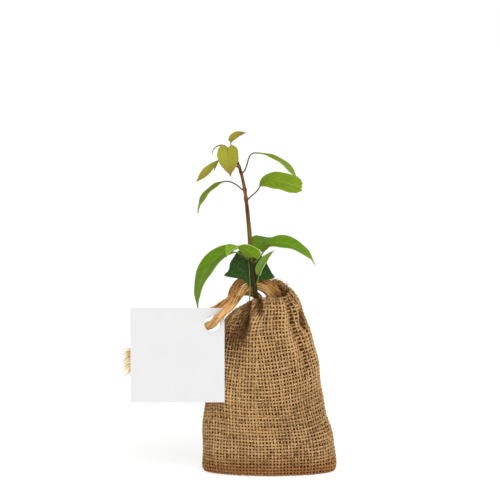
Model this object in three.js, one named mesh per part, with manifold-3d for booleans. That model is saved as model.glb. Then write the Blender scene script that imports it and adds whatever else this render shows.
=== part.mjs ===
// A young sapling standing in a gathered jute bag, with a blank card on the bag's drawstring.
// Millimetres, +Z up. The origin is the middle of the bag's flat underside, and -Y is its front.
import * as THREE from 'three';
import { mergeVertices } from 'three/addons/utils/BufferGeometryUtils.js';
import Module from 'manifold-3d';

// ---- Driving dimensions ----
const gap = 0.3; // clearance between pieces that touch
const bagWall = 1.6;
const bagAround = 48; // faces round the bag
const bagUp = 12; // rows from the underside to the rim
const bagRowCrowd = 1.15; // above 1 the rows stand closer near the underside
const soilTop = 100; // the level that the stem rises from
const soilUp = 7;
const soilInset = bagWall + gap + 0.5; // a little more, as the faces of the two skins fall differently
const stemSides = 8;
const stemSteps = 16;
const stemRadiusFoot = 2.3; // where the roots begin to flare
const stemRadiusLow = 1.7;
const stemRadiusTop = 0.75;
const flareHeight = 9;
const petioleRadius = 0.65;
const petioleSteps = 6;
const petioleSides = 5;
const petioleRoot = 3; // how far a stalk runs on into its blade
const petioleSwing = 0.36; // the length of a stalk's handles, as a share of its own
const bladeThick = 0.6;
const bladeSteps = 10;
const cordDiameter = 5.2;
const cordSides = 8;
const cordStep = 1.4; // between sections, in cord diameters
const frayLength = 13;
const frayFlare = 0.5; // how much wider a tail's teased end grows
const fraySteps = 4;
const cardSide = 69;
const cardThick = 0.8;
const cardHole = 11.4; // diameter
const cardCorner = [-32.6, 125.7]; // X and Z of the upper right corner
const cardHoleFrom = [9, 11.5]; // in from the right edge, and down from the top edge
const cardLean = 0.1; // how far the card leans back for each millimetre of height
const cardTopY = -11.4; // Y of the middle of its thickness at the top edge

// The bag's outline, as [height, reach]: its left and right edges and half its depth
const bagLeft = [[0, -47], [2, -49.4], [7, -50.2], [35, -48.9], [60, -47.2], [90, -42.6],
  [107, -38], [116, -32], [123, -24.6], [131, -19], [144, -13]];
const bagRight = [[0, 47], [2, 49.6], [7, 50.3], [25, 48.8], [42, 43.9], [60, 39.6], [85, 36],
  [100, 32.8], [114, 28.2], [127, 23.6], [135.5, 18.8], [144, 12]];
const bagDepth = [[0, 17], [2, 19.4], [8, 21.2], [40, 21.6], [70, 20.6], [95, 19], [112, 17.2],
  [127, 15.6], [144, 14]];
// The rim's height at each angle, counted from the right edge round by the back
const bagRim = [[0, 137.5], [55, 142.5], [84, 140.5], [99, 129.6], [118, 128], [140, 126.5],
  [168, 123], [195, 122.5], [224, 130.5], [265, 133], [310, 133.5], [360, 137.5]];
// Gathers that run down from the rim: the angle at the rim and how far it drifts on the way down,
// the depth, the half width in degrees and the height of the foot
const bagPleats = [
  { at: 238, drift: 6, deep: 4.6, wide: 8, foot: 88 },
  { at: 262, drift: 2, deep: 2.6, wide: 6, foot: 116 },
  { at: 300, drift: 26, deep: 2.4, wide: 8, foot: 70 },
  { at: 338, drift: 4, deep: 2.2, wide: 7, foot: 100 },
  { at: 28, drift: -6, deep: 2.6, wide: 8, foot: 92 },
  { at: 58, drift: -8, deep: 2.2, wide: 8, foot: 80 },
  { at: 118, drift: 4, deep: 2.4, wide: 9, foot: 86 },
  { at: 150, drift: 8, deep: 2.4, wide: 8, foot: 98 },
];

// The stem's middle line, from the soil to the shoot's tip
const stemLine = [[-6.4, 1, soilTop + gap], [-9.4, 0.4, 130], [-12.6, 0, 157], [-14.9, 0, 186],
  [-17.7, 0, 211], [-20.5, 0, 224], [-24, 0, 234], [-28.6, 0, 242]];

// Blade outlines, as [way along, half width, how far the edge lies back], each a share
const ovate = [[0, 0.36, 0.13], [0.07, 0.7, 0.14], [0.18, 0.93, 0.11], [0.34, 1, 0.05],
  [0.55, 0.83, 0.02], [0.75, 0.46, 0], [0.89, 0.15, 0], [1, 0.025, 0]];
const blunt = [[0, 0.1, 0.04], [0.08, 0.42, 0.04], [0.2, 0.74, 0.03], [0.39, 0.9, 0.02],
  [0.6, 1, 0], [0.82, 0.92, 0], [0.93, 0.72, 0], [1, 0.42, 0]];
const lance = [[0, 0.1, 0.02], [0.1, 0.35, 0.02], [0.25, 0.72, 0.02], [0.45, 1, 0.01],
  [0.65, 0.95, 0], [0.8, 0.66, 0], [0.92, 0.25, 0], [1, 0.03, 0]];
const late = [[0, 0.12, 0], [0.12, 0.16, 0], [0.25, 0.36, 0.01], [0.4, 0.8, 0.01],
  [0.55, 1, 0], [0.7, 0.95, 0], [0.83, 0.68, 0], [0.93, 0.27, 0], [1, 0.03, 0]];
const lobed = [[0, 0.04, 0], [0.1, 0.15, 0.01], [0.2, 0.34, 0.03], [0.33, 1, 0.09],
  [0.43, 0.88, 0.06], [0.6, 0.76, 0.03], [0.83, 0.5, 0], [0.94, 0.28, 0], [1, 0.1, 0]];

// Each leaf: the height of its node on the stem, the foot and tip of its blade, the handles that
// bend its midrib, its full width, where its left edge lies, how far its halves fold up, and for an
// uneven blade how far they slip
const leaves = [
  { name: 'leaf_top', node: 240.6, foot: [-27.6, -0.5, 247.6], tip: [-16.2, -4, 253],
    out: [1, -0.5, 2.8], back: [-5, 1, -0.1], width: 5.8, left: [-0.5, 0.6, 0.5], fold: 8 },
  { name: 'leaf_heart', node: 238, foot: [-30.1, -5, 241.8], tip: [-27.9, -7.5, 221.6],
    out: [0.2, -2.4, -5], back: [-0.6, -1, 6], width: 15.6, left: [1, 0.06, 0.06], fold: 8 },
  { name: 'leaf_curl', node: 240, foot: [-31.8, 1.4, 242.8], tip: [-41.4, 1, 237.4], out: [-3.8, 0, 2.4],
    back: [0.2, 0, 4.6], width: 2.8, left: [0, -1, 0.05], fold: 12 },
  { name: 'leaf_olive', node: 228, foot: [-37, 2.4, 232.2], tip: [-53, 0, 217.4], out: [-3.8, 0, -3],
    back: [5.4, 0, 4.2], width: 9.8, left: [0.24, -0.84, -0.44], fold: 8, outline: lance },
  { name: 'leaf_mid_left', node: 211.4, foot: [-33.6, 0.6, 217], tip: [-51.9, -1, 193.8],
    out: [-8.4, 0, -2.8], back: [0.2, 0, 9.6], width: 14.5, left: [0.12, -0.96, -0.17], fold: 5,
    outline: lance },
  { name: 'leaf_high_right', node: 224, foot: [-10.4, 3, 238], tip: [20.8, 6, 215], out: [10, 0, 0.7],
    back: [-2.1, 0, 13.2], width: 15, left: [0.09, 0.96, 0.16], fold: 5, outline: late },
  { name: 'leaf_right', node: 204.6, foot: [-6.2, -7, 215.2], tip: [24.4, -11.5, 213.8],
    out: [2.9, -1.4, 7.6], back: [-12.4, -0.6, 3.6], width: 21.6, left: [0.1, 0.84, 0.5], fold: 4,
    outline: blunt },
  { name: 'leaf_low_left', node: 159.5, foot: [-29, 4.6, 164.8], tip: [-52.2, -2, 122.6],
    out: [-14, -1, -1.6], back: [-3, 0, 19], width: 22.6, left: [0.46, -0.86, -0.12], fold: 8 },
  { name: 'leaf_front_left', node: 159, foot: [-13, -8.4, 164], tip: [-30.4, -31, 166], out: [-5, -8, 9],
    back: [2, 8, 11], width: 18.5, left: [0.84, -0.54, 0.02], fold: 10 },
  { name: 'leaf_back_right', node: 162, foot: [-7.6, 6, 167.4], tip: [1.8, 32, 169.4], out: [3.4, 8, 6.6],
    back: [-2, -9, 6.6], width: 20, left: [-0.9, 0.42, 0.02], fold: 8 },
  { name: 'leaf_low_right', node: 158, foot: [2.6, -6, 171.6], tip: [33.8, -10, 156.8], out: [8, -1, 4],
    back: [-5, 0.6, 11], width: 19, left: [0.03, 0.93, 0.36], fold: 12 },
  { name: 'leaf_small', node: 141.4, foot: [-7.2, -5.6, 151.6], tip: [4.2, -9.6, 168.4], out: [0.6, -1, 6],
    back: [-4.6, 1, -4], width: 7, left: [-0.6, 0.66, 0.44], fold: 12 },
  { name: 'leaf_dark', node: 116, foot: [-14, 2.8, 139.4], tip: [-15.4, 10.5, 167.4], out: [0, 0.2, 12],
    back: [0, -4, -7], width: 36.4, left: [-1, 0.02, 0.02], fold: 4, skew: 0.1, outline: lobed },
];

// The routes of the drawstring's two tails and of its slack loop
const tailFront = [[24, -1.4, 112.6], [18, -1, 115.2], [11.6, 0.6, 120.4], [5.7, 2.8, 126.5],
  [1.2, 4.8, 132.7], [-3.8, 7, 137.4], [-8.6, 7.6, 139.1], [-13.7, 6.8, 138.9], [-18.8, 4.3, 136.6],
  [-22.9, -1.5, 132.2], [-26, -8.4, 129.4], [-29.6, -13.9, 126.3], [-32.9, -16.1, 123.3],
  [-36.2, -16.4, 120.1], [-39.2, -15, 116.8], [-41.8, -12.1, 113.9], [-44.9, -9.4, 112],
  [-50, -7.4, 109.2], [-58, -7.8, 105], [-74, -9.4, 96.6], [-88, -10.6, 88.6], [-97, -11, 84.8]];
const tailRear = [[-5, 5.6, 112], [-5.1, 4.9, 118.9], [-5.6, 6.3, 125.9], [-8.3, 8.5, 130.8],
  [-12.5, 10.1, 133.6], [-17.2, 10.5, 134.6], [-21.8, 9.7, 134], [-26.6, 7.1, 131.7],
  [-30.2, 4.4, 128.3], [-36.5, 2, 124.3], [-43.7, 0.4, 120.6], [-57, -2, 113.6], [-72, -4, 105.4],
  [-88, -5.6, 96.6], [-97, -6.2, 92.8]];
const loopLine = [[17.6, 4.2, 120.6], [12.2, 5.8, 127.6], [6.7, 7.3, 134], [1.6, 9.5, 139.3],
  [-3.8, 12.1, 142.4], [-9.5, 14.6, 144], [-16, 15.6, 143.3], [-21.8, 15, 140.8], [-25.9, 14.3, 136.3],
  [-27.6, 13.1, 130.8], [-27.4, 11.4, 125.6]];

// ---- Helpers ----
const wasm = await Module();
wasm.setup();

const vector = (point) => new THREE.Vector3(...point);

// Smooth value at x between [x, ...values] rows, for the value in column c
function along(rows, x, c = 1) {
  const last = rows.length - 1;
  let i = 0;
  while (i < last - 1 && x > rows[i + 1][0]) i += 1;
  const [a, b] = [rows[i], rows[i + 1]];
  const before = rows[Math.max(i - 1, 0)];
  const after = rows[Math.min(i + 2, last)];
  const span = b[0] - a[0];
  const t = THREE.MathUtils.clamp((x - a[0]) / span, 0, 1);
  const slopeA = (b[c] - before[c]) / (b[0] - before[0]) * span;
  const slopeB = (after[c] - a[c]) / (after[0] - a[0]) * span;
  const [t2, t3] = [t * t, t * t * t];
  return (2 * t3 - 3 * t2 + 1) * a[c] + (t3 - 2 * t2 + t) * slopeA
    + (3 * t2 - 2 * t3) * b[c] + (t3 - t2) * slopeB;
}

// A closed body through rings of points, each ring the same length, ends capped round their middles
function loft(rings) {
  const count = rings[0].length;
  const points = rings.flat();
  const faces = [];
  for (let r = 0; r < rings.length - 1; r += 1) {
    for (let s = 0; s < count; s += 1) {
      const next = (s + 1) % count;
      const [a, b, c, d] = [r * count + s, r * count + next, (r + 1) * count + s, (r + 1) * count + next];
      faces.push(a, b, d, a, d, c);
    }
  }
  [0, rings.length - 1].forEach((r) => {
    const middle = rings[r].reduce((sum, p) => sum.add(p), new THREE.Vector3()).divideScalar(count);
    points.push(middle);
    for (let s = 0; s < count; s += 1) {
      const next = (s + 1) % count;
      const [a, b] = [r * count + s, r * count + next];
      faces.push(...(r === 0 ? [points.length - 1, b, a] : [points.length - 1, a, b]));
    }
  });
  const geometry = new THREE.BufferGeometry().setFromPoints(points);
  geometry.setIndex(faces);
  return geometry;
}

function toSolid(geometry) {
  const bare = geometry.clone();
  bare.deleteAttribute('normal');
  bare.deleteAttribute('uv');
  const merged = mergeVertices(bare, 1e-5);
  return new wasm.Manifold(new wasm.Mesh({
    numProp: 3,
    vertProperties: new Float32Array(merged.attributes.position.array),
    triVerts: new Uint32Array(merged.index.array),
  }));
}

function toGeometry(solid) {
  const { vertProperties, triVerts } = solid.getMesh();
  const geometry = new THREE.BufferGeometry();
  geometry.setAttribute('position', new THREE.BufferAttribute(vertProperties, 3));
  geometry.setIndex(new THREE.BufferAttribute(triVerts, 1));
  return geometry;
}

// Rings round a curve, with a radius that varies along it
function tubeRings(curve, steps, sides, radiusAt) {
  const frames = curve.computeFrenetFrames(steps, false);
  return Array.from({ length: steps + 1 }, (_, i) => {
    const centre = curve.getPointAt(i / steps);
    return Array.from({ length: sides }, (_, s) => {
      const turn = 2 * Math.PI * s / sides;
      const arm = frames.normals[i].clone().multiplyScalar(Math.cos(turn))
        .addScaledVector(frames.binormals[i], Math.sin(turn));
      return centre.clone().addScaledVector(arm, radiusAt(i / steps));
    });
  });
}

// ---- Bag and root ball ----
// A point of the bag's cloth at an angle in degrees and a height, moved in from the outer face
function clothPoint(angle, height, inset) {
  const [left, right] = [along(bagLeft, height), along(bagRight, height)];
  const depth = along(bagDepth, height);
  const [middle, half] = [(left + right) / 2, (right - left) / 2];
  const place = (degrees) => {
    const turn = degrees * Math.PI / 180;
    return new THREE.Vector2(middle + half * Math.cos(turn), depth * Math.sin(turn));
  };
  const outwards = place(angle + 0.5).sub(place(angle - 0.5));
  outwards.set(outwards.y, -outwards.x).normalize();
  const point = place(angle).addScaledVector(outwards, -inset - pleatDepth(angle, height));
  return new THREE.Vector3(point.x, point.y, height);
}

function pleatDepth(angle, height) {
  const rim = along(bagRim, angle);
  return bagPleats.reduce((sum, pleat) => {
    const down = THREE.MathUtils.clamp((rim - height) / (rim - pleat.foot), 0, 1);
    const middle = pleat.at + pleat.drift * down;
    const off = THREE.MathUtils.euclideanModulo(angle - middle + 180, 360) - 180;
    return sum + pleat.deep * Math.cos(down * Math.PI / 2) * Math.exp(-((off / pleat.wide) ** 2));
  }, 0);
}

function clothRing(inset, heightAt) {
  return Array.from({ length: bagAround }, (_, s) => {
    const angle = 360 * s / bagAround;
    return clothPoint(angle, heightAt(angle), inset);
  });
}

function bagGeometry() {
  const skin = (inset) => Array.from({ length: bagUp + 1 }, (_, row) => {
    const share = (row / bagUp) ** bagRowCrowd;
    return clothRing(inset, (angle) => THREE.MathUtils.lerp(inset, along(bagRim, angle), share));
  });
  return loft([...skin(0), ...skin(bagWall).reverse()]);
}

function rootBallGeometry() {
  return loft(Array.from({ length: soilUp + 1 }, (_, row) => {
    const height = THREE.MathUtils.lerp(soilInset, soilTop, row / soilUp);
    return clothRing(soilInset, () => height);
  }));
}

// ---- Stem and leaves ----
const stemLow = stemLine[0][2];
const stemHigh = stemLine.at(-1)[2];

function stemRadius(height) {
  const up = THREE.MathUtils.clamp((height - stemLow) / (stemHigh - stemLow), 0, 1);
  const flare = Math.max(0, 1 - (height - stemLow) / flareHeight) ** 2;
  return THREE.MathUtils.lerp(stemRadiusLow, stemRadiusTop, up) + (stemRadiusFoot - stemRadiusLow) * flare;
}

function stemCentre(height) {
  const x = along(stemLine.map((p) => [p[2], p[0]]), height);
  const y = along(stemLine.map((p) => [p[2], p[1]]), height);
  return new THREE.Vector3(x, y, height);
}

// Level rings, so that the foot is a flat cut on the soil
function stemGeometry() {
  return loft(Array.from({ length: stemSteps + 1 }, (_, i) => {
    const height = THREE.MathUtils.lerp(stemLow, stemHigh, i / stemSteps);
    const centre = stemCentre(height);
    return Array.from({ length: stemSides }, (_, s) => {
      const turn = 2 * Math.PI * s / stemSides;
      const arm = new THREE.Vector3(Math.cos(turn), Math.sin(turn), 0);
      return centre.clone().addScaledVector(arm, stemRadius(height));
    });
  }));
}

function midrib(leaf) {
  const [foot, tip] = [vector(leaf.foot), vector(leaf.tip)];
  const [out, back] = [foot.clone().add(vector(leaf.out)), tip.clone().add(vector(leaf.back))];
  return new THREE.CubicBezierCurve3(foot, out, back, tip);
}

// From just clear of the stem's bark to the foot of the blade, arriving the way the midrib leaves
function petiole(leaf) {
  const foot = vector(leaf.foot);
  const centre = stemCentre(leaf.node);
  const away = foot.clone().sub(centre).setZ(0).normalize();
  const start = centre.addScaledVector(away, stemRadius(leaf.node) + gap + petioleRadius);
  const reach = start.distanceTo(foot) * petioleSwing;
  const rise = away.clone().add(new THREE.Vector3(0, 0, 1)).normalize();
  const arrive = vector(leaf.out).normalize();
  return new THREE.CubicBezierCurve3(start, start.clone().addScaledVector(rise, reach),
    foot.clone().addScaledVector(arrive, -reach), foot);
}

function bladeRing(leaf, curve, t) {
  const outline = leaf.outline ?? ovate;
  const length = curve.getLength();
  const ahead = curve.getTangentAt(t);
  const left = vector(leaf.left).addScaledVector(ahead, -vector(leaf.left).dot(ahead)).normalize();
  const up = ahead.clone().cross(left);
  const fold = leaf.fold * Math.PI / 180;
  const half = leaf.width / 2 * along(outline, t, 1);
  const swept = length * along(outline, t, 2);
  const point = (side, lift) => curve.getPointAt(t)
    .addScaledVector(left, half * side * Math.cos(fold))
    .addScaledVector(up, half * Math.abs(side) * Math.sin(fold) + lift)
    .addScaledVector(ahead, (leaf.skew ?? 0) * half * side - swept * Math.abs(side));
  const sides = [1, 0.5, 0, -0.5, -1];
  return [...sides.map((side) => point(side, bladeThick / 2)),
    ...sides.toReversed().map((side) => point(side, -bladeThick / 2))];
}

function leafGeometry(leaf) {
  const curve = midrib(leaf);
  const rings = Array.from({ length: bladeSteps + 1 }, (_, i) => bladeRing(leaf, curve, i / bladeSteps));
  const blade = toSolid(loft(rings));
  const stalkLine = new THREE.CurvePath();
  stalkLine.add(petiole(leaf));
  stalkLine.add(new THREE.LineCurve3(vector(leaf.foot), curve.getPointAt(petioleRoot / curve.getLength())));
  const stalk = toSolid(loft(tubeRings(stalkLine, petioleSteps, petioleSides, () => petioleRadius)));
  return toGeometry(blade.add(stalk));
}

// ---- Drawstring and card ----
// An eight-sided section carried along the route
function cordGeometry(route) {
  const curve = new THREE.CatmullRomCurve3(route.map(vector));
  const section = new THREE.Shape(Array.from({ length: cordSides }, (_, s) => {
    const turn = 2 * Math.PI * s / cordSides;
    return new THREE.Vector2(Math.cos(turn), Math.sin(turn)).multiplyScalar(cordDiameter / 2);
  }));
  const steps = Math.round(curve.getLength() / (cordDiameter * cordStep));
  return new THREE.ExtrudeGeometry(section, { steps, extrudePath: curve });
}

// The teased-out end of a tail, a bell that opens away from the cord
function frayGeometry(route) {
  const end = vector(route.at(-1));
  const ahead = end.clone().sub(vector(route.at(-2))).normalize();
  const [near, far] = [gap, frayLength].map((step) => end.clone().addScaledVector(ahead, step));
  const radiusAt = (t) => cordDiameter / 2 * (1 + frayFlare * t);
  return loft(tubeRings(new THREE.LineCurve3(near, far), fraySteps, cordSides, radiusAt));
}

function cardGeometry() {
  const [right, top] = cardCorner;
  const corners = [[right - cardSide, top - cardSide], [right, top - cardSide], [right, top],
    [right - cardSide, top]];
  const outline = new THREE.Shape(corners.map(([x, z]) => new THREE.Vector2(x, z)));
  const hole = new THREE.Path();
  hole.absarc(right - cardHoleFrom[0], top - cardHoleFrom[1], cardHole / 2, 0, 2 * Math.PI, true);
  outline.holes.push(hole);
  const options = { depth: cardThick, bevelEnabled: false, curveSegments: 12 };
  const geometry = new THREE.ExtrudeGeometry(outline, options);
  // Stood up to face the front, then leant back a little
  geometry.rotateX(Math.PI / 2);
  geometry.translate(0, cardTopY + cardThick / 2, 0);
  const corner = geometry.attributes.position;
  for (let i = 0; i < corner.count; i += 1) {
    corner.setY(i, corner.getY(i) - (top - corner.getZ(i)) * cardLean);
  }
  return geometry;
}

// ---- Materials ----
const finish = (color, roughness) => new THREE.MeshStandardMaterial({ color, roughness, metalness: 0 });
const jute = finish('#b5905f', 0.95);
const twine = finish('#c99f66', 0.95);
const earth = finish('#2e2118', 1);
const bark = finish('#7d5233', 0.7);
const leafGreen = finish('#6f9f27', 0.45);
const leafYoung = finish('#9b8f35', 0.45);
const leafDark = finish('#24521d', 0.4);
const paper = finish('#ededed', 0.8);

const youngLeaves = ['leaf_top', 'leaf_heart', 'leaf_curl', 'leaf_olive'];

function leafFinish(name) {
  if (name === 'leaf_dark') return leafDark;
  return youngLeaves.includes(name) ? leafYoung : leafGreen;
}

// ---- Assembly ----
const group = new THREE.Group();

function place(name, geometry, material) {
  const mesh = new THREE.Mesh(geometry, material);
  mesh.name = name;
  group.add(mesh);
}

place('jute_bag', bagGeometry(), jute);
place('root_ball', rootBallGeometry(), earth);
place('stem', stemGeometry(), bark);
leaves.forEach((leaf) => place(leaf.name, leafGeometry(leaf), leafFinish(leaf.name)));
place('drawstring_front', cordGeometry(tailFront), twine);
place('drawstring_rear', cordGeometry(tailRear), twine);
place('drawstring_loop', cordGeometry(loopLine), twine);
place('fray_front', frayGeometry(tailFront), twine);
place('fray_rear', frayGeometry(tailRear), twine);
place('card', cardGeometry(), paper);

export default group;
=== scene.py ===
import math
from functools import partialmethod

import bpy
import numpy as np
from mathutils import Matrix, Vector


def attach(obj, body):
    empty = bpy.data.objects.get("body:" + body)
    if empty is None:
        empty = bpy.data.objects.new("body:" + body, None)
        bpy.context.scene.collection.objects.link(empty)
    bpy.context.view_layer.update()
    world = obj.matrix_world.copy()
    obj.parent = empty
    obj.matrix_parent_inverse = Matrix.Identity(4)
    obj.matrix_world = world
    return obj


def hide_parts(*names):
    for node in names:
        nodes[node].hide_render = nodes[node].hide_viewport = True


# A sapling in a gathered jute bag, with a blank card on the bag's string.
# Lengths are millimetres until a mesh is written; -Y is the front.
mm = 0.001
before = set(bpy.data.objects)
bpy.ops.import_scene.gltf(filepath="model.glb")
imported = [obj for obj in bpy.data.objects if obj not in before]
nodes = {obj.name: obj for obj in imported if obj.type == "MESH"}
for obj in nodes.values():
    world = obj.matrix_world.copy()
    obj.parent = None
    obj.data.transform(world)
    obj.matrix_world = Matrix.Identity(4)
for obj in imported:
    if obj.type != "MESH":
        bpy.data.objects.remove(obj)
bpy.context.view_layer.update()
scene = bpy.context.scene
print("frame loaded:", len(nodes), "nodes")


# camera, light and floor
camera = {"elevation": 10, "distance": 1300, "target": (0, 0, 110), "lens": 126.5, "sensor": 36,
          "shift": (-0.038, 0.153), "farthest": 20}
studio = {"horizon": 1.0, "above": 0.4, "bandTop": (8, 24), "key": 2.7, "keyAt": (330, -800, 900),
          "keySoft": 62, "floorTint": (150, 150, 149), "floorCloud": 2, "floorGlow": 0.76,
          "floorSize": 40000}


def tint(red, green, blue):
    # a screen colour as the linear one that shaders take
    share = np.array((red, green, blue), float) / 255
    low = share <= 0.04045
    linear = np.where(low, share / 12.92, ((share + 0.055) / 1.055) ** 2.4)
    return (*linear, 1.0)


def clearSelection():
    bpy.ops.object.select_all(action="DESELECT")


def aim(thing, target):
    way = Vector(target) * mm - thing.location
    thing.rotation_euler = way.to_track_quat("-Z", "Y").to_euler()


def setCamera():
    tilt = math.radians(camera["elevation"])
    ahead = np.array((0, math.cos(tilt), -math.sin(tilt)))
    place = (np.array(camera["target"]) - ahead * camera["distance"]) * mm
    clearSelection()
    bpy.ops.object.camera_add(location=place, rotation=(math.pi / 2 - tilt, 0, 0))
    eye = bpy.context.object
    eye.name = "studioCamera"
    eye.data.lens = camera["lens"]
    eye.data.sensor_width = camera["sensor"]
    eye.data.shift_x, eye.data.shift_y = camera["shift"]
    eye.data.clip_end = camera["farthest"]
    scene.camera = eye


def setKey():
    # one broad soft lamp, so far off that its light is as strong all over the floor
    clearSelection()
    bpy.ops.object.light_add(type="SUN", location=np.array(studio["keyAt"]) * mm)
    lamp = bpy.context.object
    lamp.name = "keyLight"
    lamp.data.energy = studio["key"]
    lamp.data.angle = math.radians(studio["keySoft"])
    aim(lamp, camera["target"])


# shader helper
class Value:
    # a value that comes out of a node; sums on it add Math nodes
    def __init__(self, finish, socket):
        self.finish = finish
        self.socket = socket

    def reckon(self, operation, *others):
        inputs = {0: self, **{i + 1: other for i, other in enumerate(others)}}
        return self.finish.add("ShaderNodeMath", {"operation": operation}, inputs)

    __add__ = __radd__ = partialmethod(reckon, "ADD")
    __sub__ = partialmethod(reckon, "SUBTRACT")
    __mul__ = partialmethod(reckon, "MULTIPLY")
    __pow__ = partialmethod(reckon, "POWER")
    __abs__ = partialmethod(reckon, "ABSOLUTE")

    def __rsub__(self, other):
        return (self * -1).reckon("ADD", other)

    def within(self, low, high):
        # 0 at low, 1 at high, smooth between
        settings = {"interpolation_type": "SMOOTHSTEP"}
        inputs = {"Value": self, "From Min": low, "From Max": high}
        return self.finish.add("ShaderNodeMapRange", settings, inputs)


class Nodes:
    def __init__(self, tree):
        self.tree = tree

    def add(self, kind, settings, inputs, output=0):
        node = self.tree.nodes.new(kind)
        for name, value in settings.items():
            setattr(node, name, value)
        for name, value in inputs.items():
            self.feed(node.inputs[name], value)
        return Value(self, node.outputs[output])

    def feed(self, socket, value):
        if isinstance(value, Value):
            self.tree.links.new(value.socket, socket)
        else:
            socket.default_value = value

    def part(self, vector, axis):
        return self.add("ShaderNodeSeparateXYZ", {}, {0: vector}, axis)


class Finish(Nodes):
    def __init__(self, name, **constants):
        self.material = bpy.data.materials.new(name)
        self.material.use_nodes = True
        super().__init__(self.material.node_tree)
        self.shader = self.tree.nodes["Principled BSDF"]
        for socket, value in constants.items():
            self.shader.inputs[socket.replace("_", " ")].default_value = value

    def place(self):
        return self.add("ShaderNodeTexCoord", {}, {}, "Object")

    def uv(self):
        return self.add("ShaderNodeUVMap", {"uv_map": "UVMap"}, {})

    def mark(self, name):
        # a value painted on the mesh's points
        return self.add("ShaderNodeAttribute", {"attribute_name": name}, {}, "Fac")

    def stretch(self, vector, scale):
        return self.add("ShaderNodeMapping", {"vector_type": "POINT"}, {0: vector, "Scale": scale})

    def noise(self, vector, scale, detail=3.0, roughness=0.55):
        inputs = {"Vector": vector, "Scale": scale, "Detail": detail, "Roughness": roughness}
        return self.add("ShaderNodeTexNoise", {}, inputs)

    def blend(self, factor, first, second):
        # colours, mixed
        inputs = {0: factor, 6: first, 7: second}
        return self.add("ShaderNodeMix", {"data_type": "RGBA"}, inputs, 2)

    def surface(self, colour=None, roughness=None, bump=None, depth=0.0001, strength=1.0):
        if colour is not None:
            self.feed(self.shader.inputs["Base Color"], colour)
        if roughness is not None:
            self.feed(self.shader.inputs["Roughness"], roughness)
        if bump is not None:
            inputs = {"Height": bump, "Distance": depth, "Strength": strength}
            normal = self.add("ShaderNodeBump", {}, inputs)
            self.feed(self.shader.inputs["Normal"], normal)
        return self.material


def setWorld():
    # white at the level of the horizon, dimmer overhead
    world = bpy.data.worlds.new("studioWorld")
    world.use_nodes = True
    scene.world = world
    sky = Nodes(world.node_tree)
    height = sky.part(sky.add("ShaderNodeTexCoord", {}, {}, "Generated"), "Z")
    low, high = (math.sin(math.radians(angle)) for angle in studio["bandTop"])
    strength = studio["horizon"] + height.within(low, high) * (studio["above"] - studio["horizon"])
    background = world.node_tree.nodes["Background"]
    background.inputs["Color"].default_value = (1, 1, 1, 1)
    sky.feed(background.inputs["Strength"], strength)


setCamera()
setKey()
setWorld()
scene.view_settings.view_transform = "Standard"
print("camera and lights set")


# mesh helpers
def readPoints(piece):
    flat = np.zeros(len(piece.data.vertices) * 3)
    piece.data.vertices.foreach_get("co", flat)
    return flat.reshape(-1, 3)


def writePoints(piece, points):
    piece.data.vertices.foreach_set("co", np.asarray(points, float).ravel())
    piece.data.update()


def dress(piece, name, material, cadNodes=()):
    # names a finished piece and ties it to the frame
    piece.name = name
    piece.data.name = name
    piece.data.materials.clear()
    piece.data.materials.append(material)
    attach(piece, "root")
    if cadNodes:
        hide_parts(*cadNodes)
    return piece


def tidyMesh(piece, angle=60):
    # merges seams and poles, turns faces out and smooths
    clearSelection()
    piece.select_set(True)
    bpy.context.view_layer.objects.active = piece
    bpy.ops.object.mode_set(mode="EDIT")
    bpy.ops.mesh.select_all(action="SELECT")
    bpy.ops.mesh.remove_doubles(threshold=0.00001)
    bpy.ops.mesh.normals_make_consistent(inside=False)
    bpy.ops.object.mode_set(mode="OBJECT")
    bpy.ops.object.shade_smooth_by_angle(angle=math.radians(angle))
    return piece


def shapeGrid(across, up, place):
    # a flat grid whose points are then laid where place(share across, share up) says
    clearSelection()
    bpy.ops.mesh.primitive_grid_add(x_subdivisions=across, y_subdivisions=up, size=1)
    piece = bpy.context.object
    flat = readPoints(piece)
    writePoints(piece, place(flat[:, 0] + 0.5, flat[:, 1] + 0.5) * mm)
    return piece


def thicken(piece, thick, offset=-1):
    solid = piece.modifiers.new("thickness", "SOLIDIFY")
    solid.thickness = thick * mm
    solid.offset = offset
    bpy.ops.object.modifier_apply(modifier=solid.name)
    return piece


def meshFrom(name, points, faces):
    # a piece from points in millimetres
    mesh = bpy.data.meshes.new(name)
    mesh.from_pydata((np.vstack(points) * mm).tolist(), [], faces)
    piece = bpy.data.objects.new(name, mesh)
    scene.collection.objects.link(piece)
    return piece


def joinPieces(main, *others):
    clearSelection()
    for other in others:
        other.select_set(True)
    main.select_set(True)
    bpy.context.view_layer.objects.active = main
    bpy.ops.object.join()
    return main


def unit(vectors):
    return vectors / np.maximum(np.linalg.norm(vectors, axis=-1, keepdims=True), 1e-9)


def along(rows, x, column=1):
    # smooth value at x between [x, ...values] rows
    rows = np.array(rows, float)
    x = np.asarray(x, float)
    i = np.searchsorted(rows[1:-1, 0], x, side="left")
    last = len(rows) - 1
    a, b = rows[i], rows[i + 1]
    before, after = rows[np.maximum(i - 1, 0)], rows[np.minimum(i + 2, last)]
    span = b[..., 0] - a[..., 0]
    t = np.clip((x - a[..., 0]) / span, 0, 1)
    slopeA = (b[..., column] - before[..., column]) / (b[..., 0] - before[..., 0]) * span
    slopeB = (after[..., column] - a[..., column]) / (after[..., 0] - a[..., 0]) * span
    first = (2 * t**3 - 3 * t**2 + 1) * a[..., column] + (t**3 - 2 * t**2 + t) * slopeA
    return first + (3 * t**2 - 2 * t**3) * b[..., column] + (t**3 - t**2) * slopeB


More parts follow.
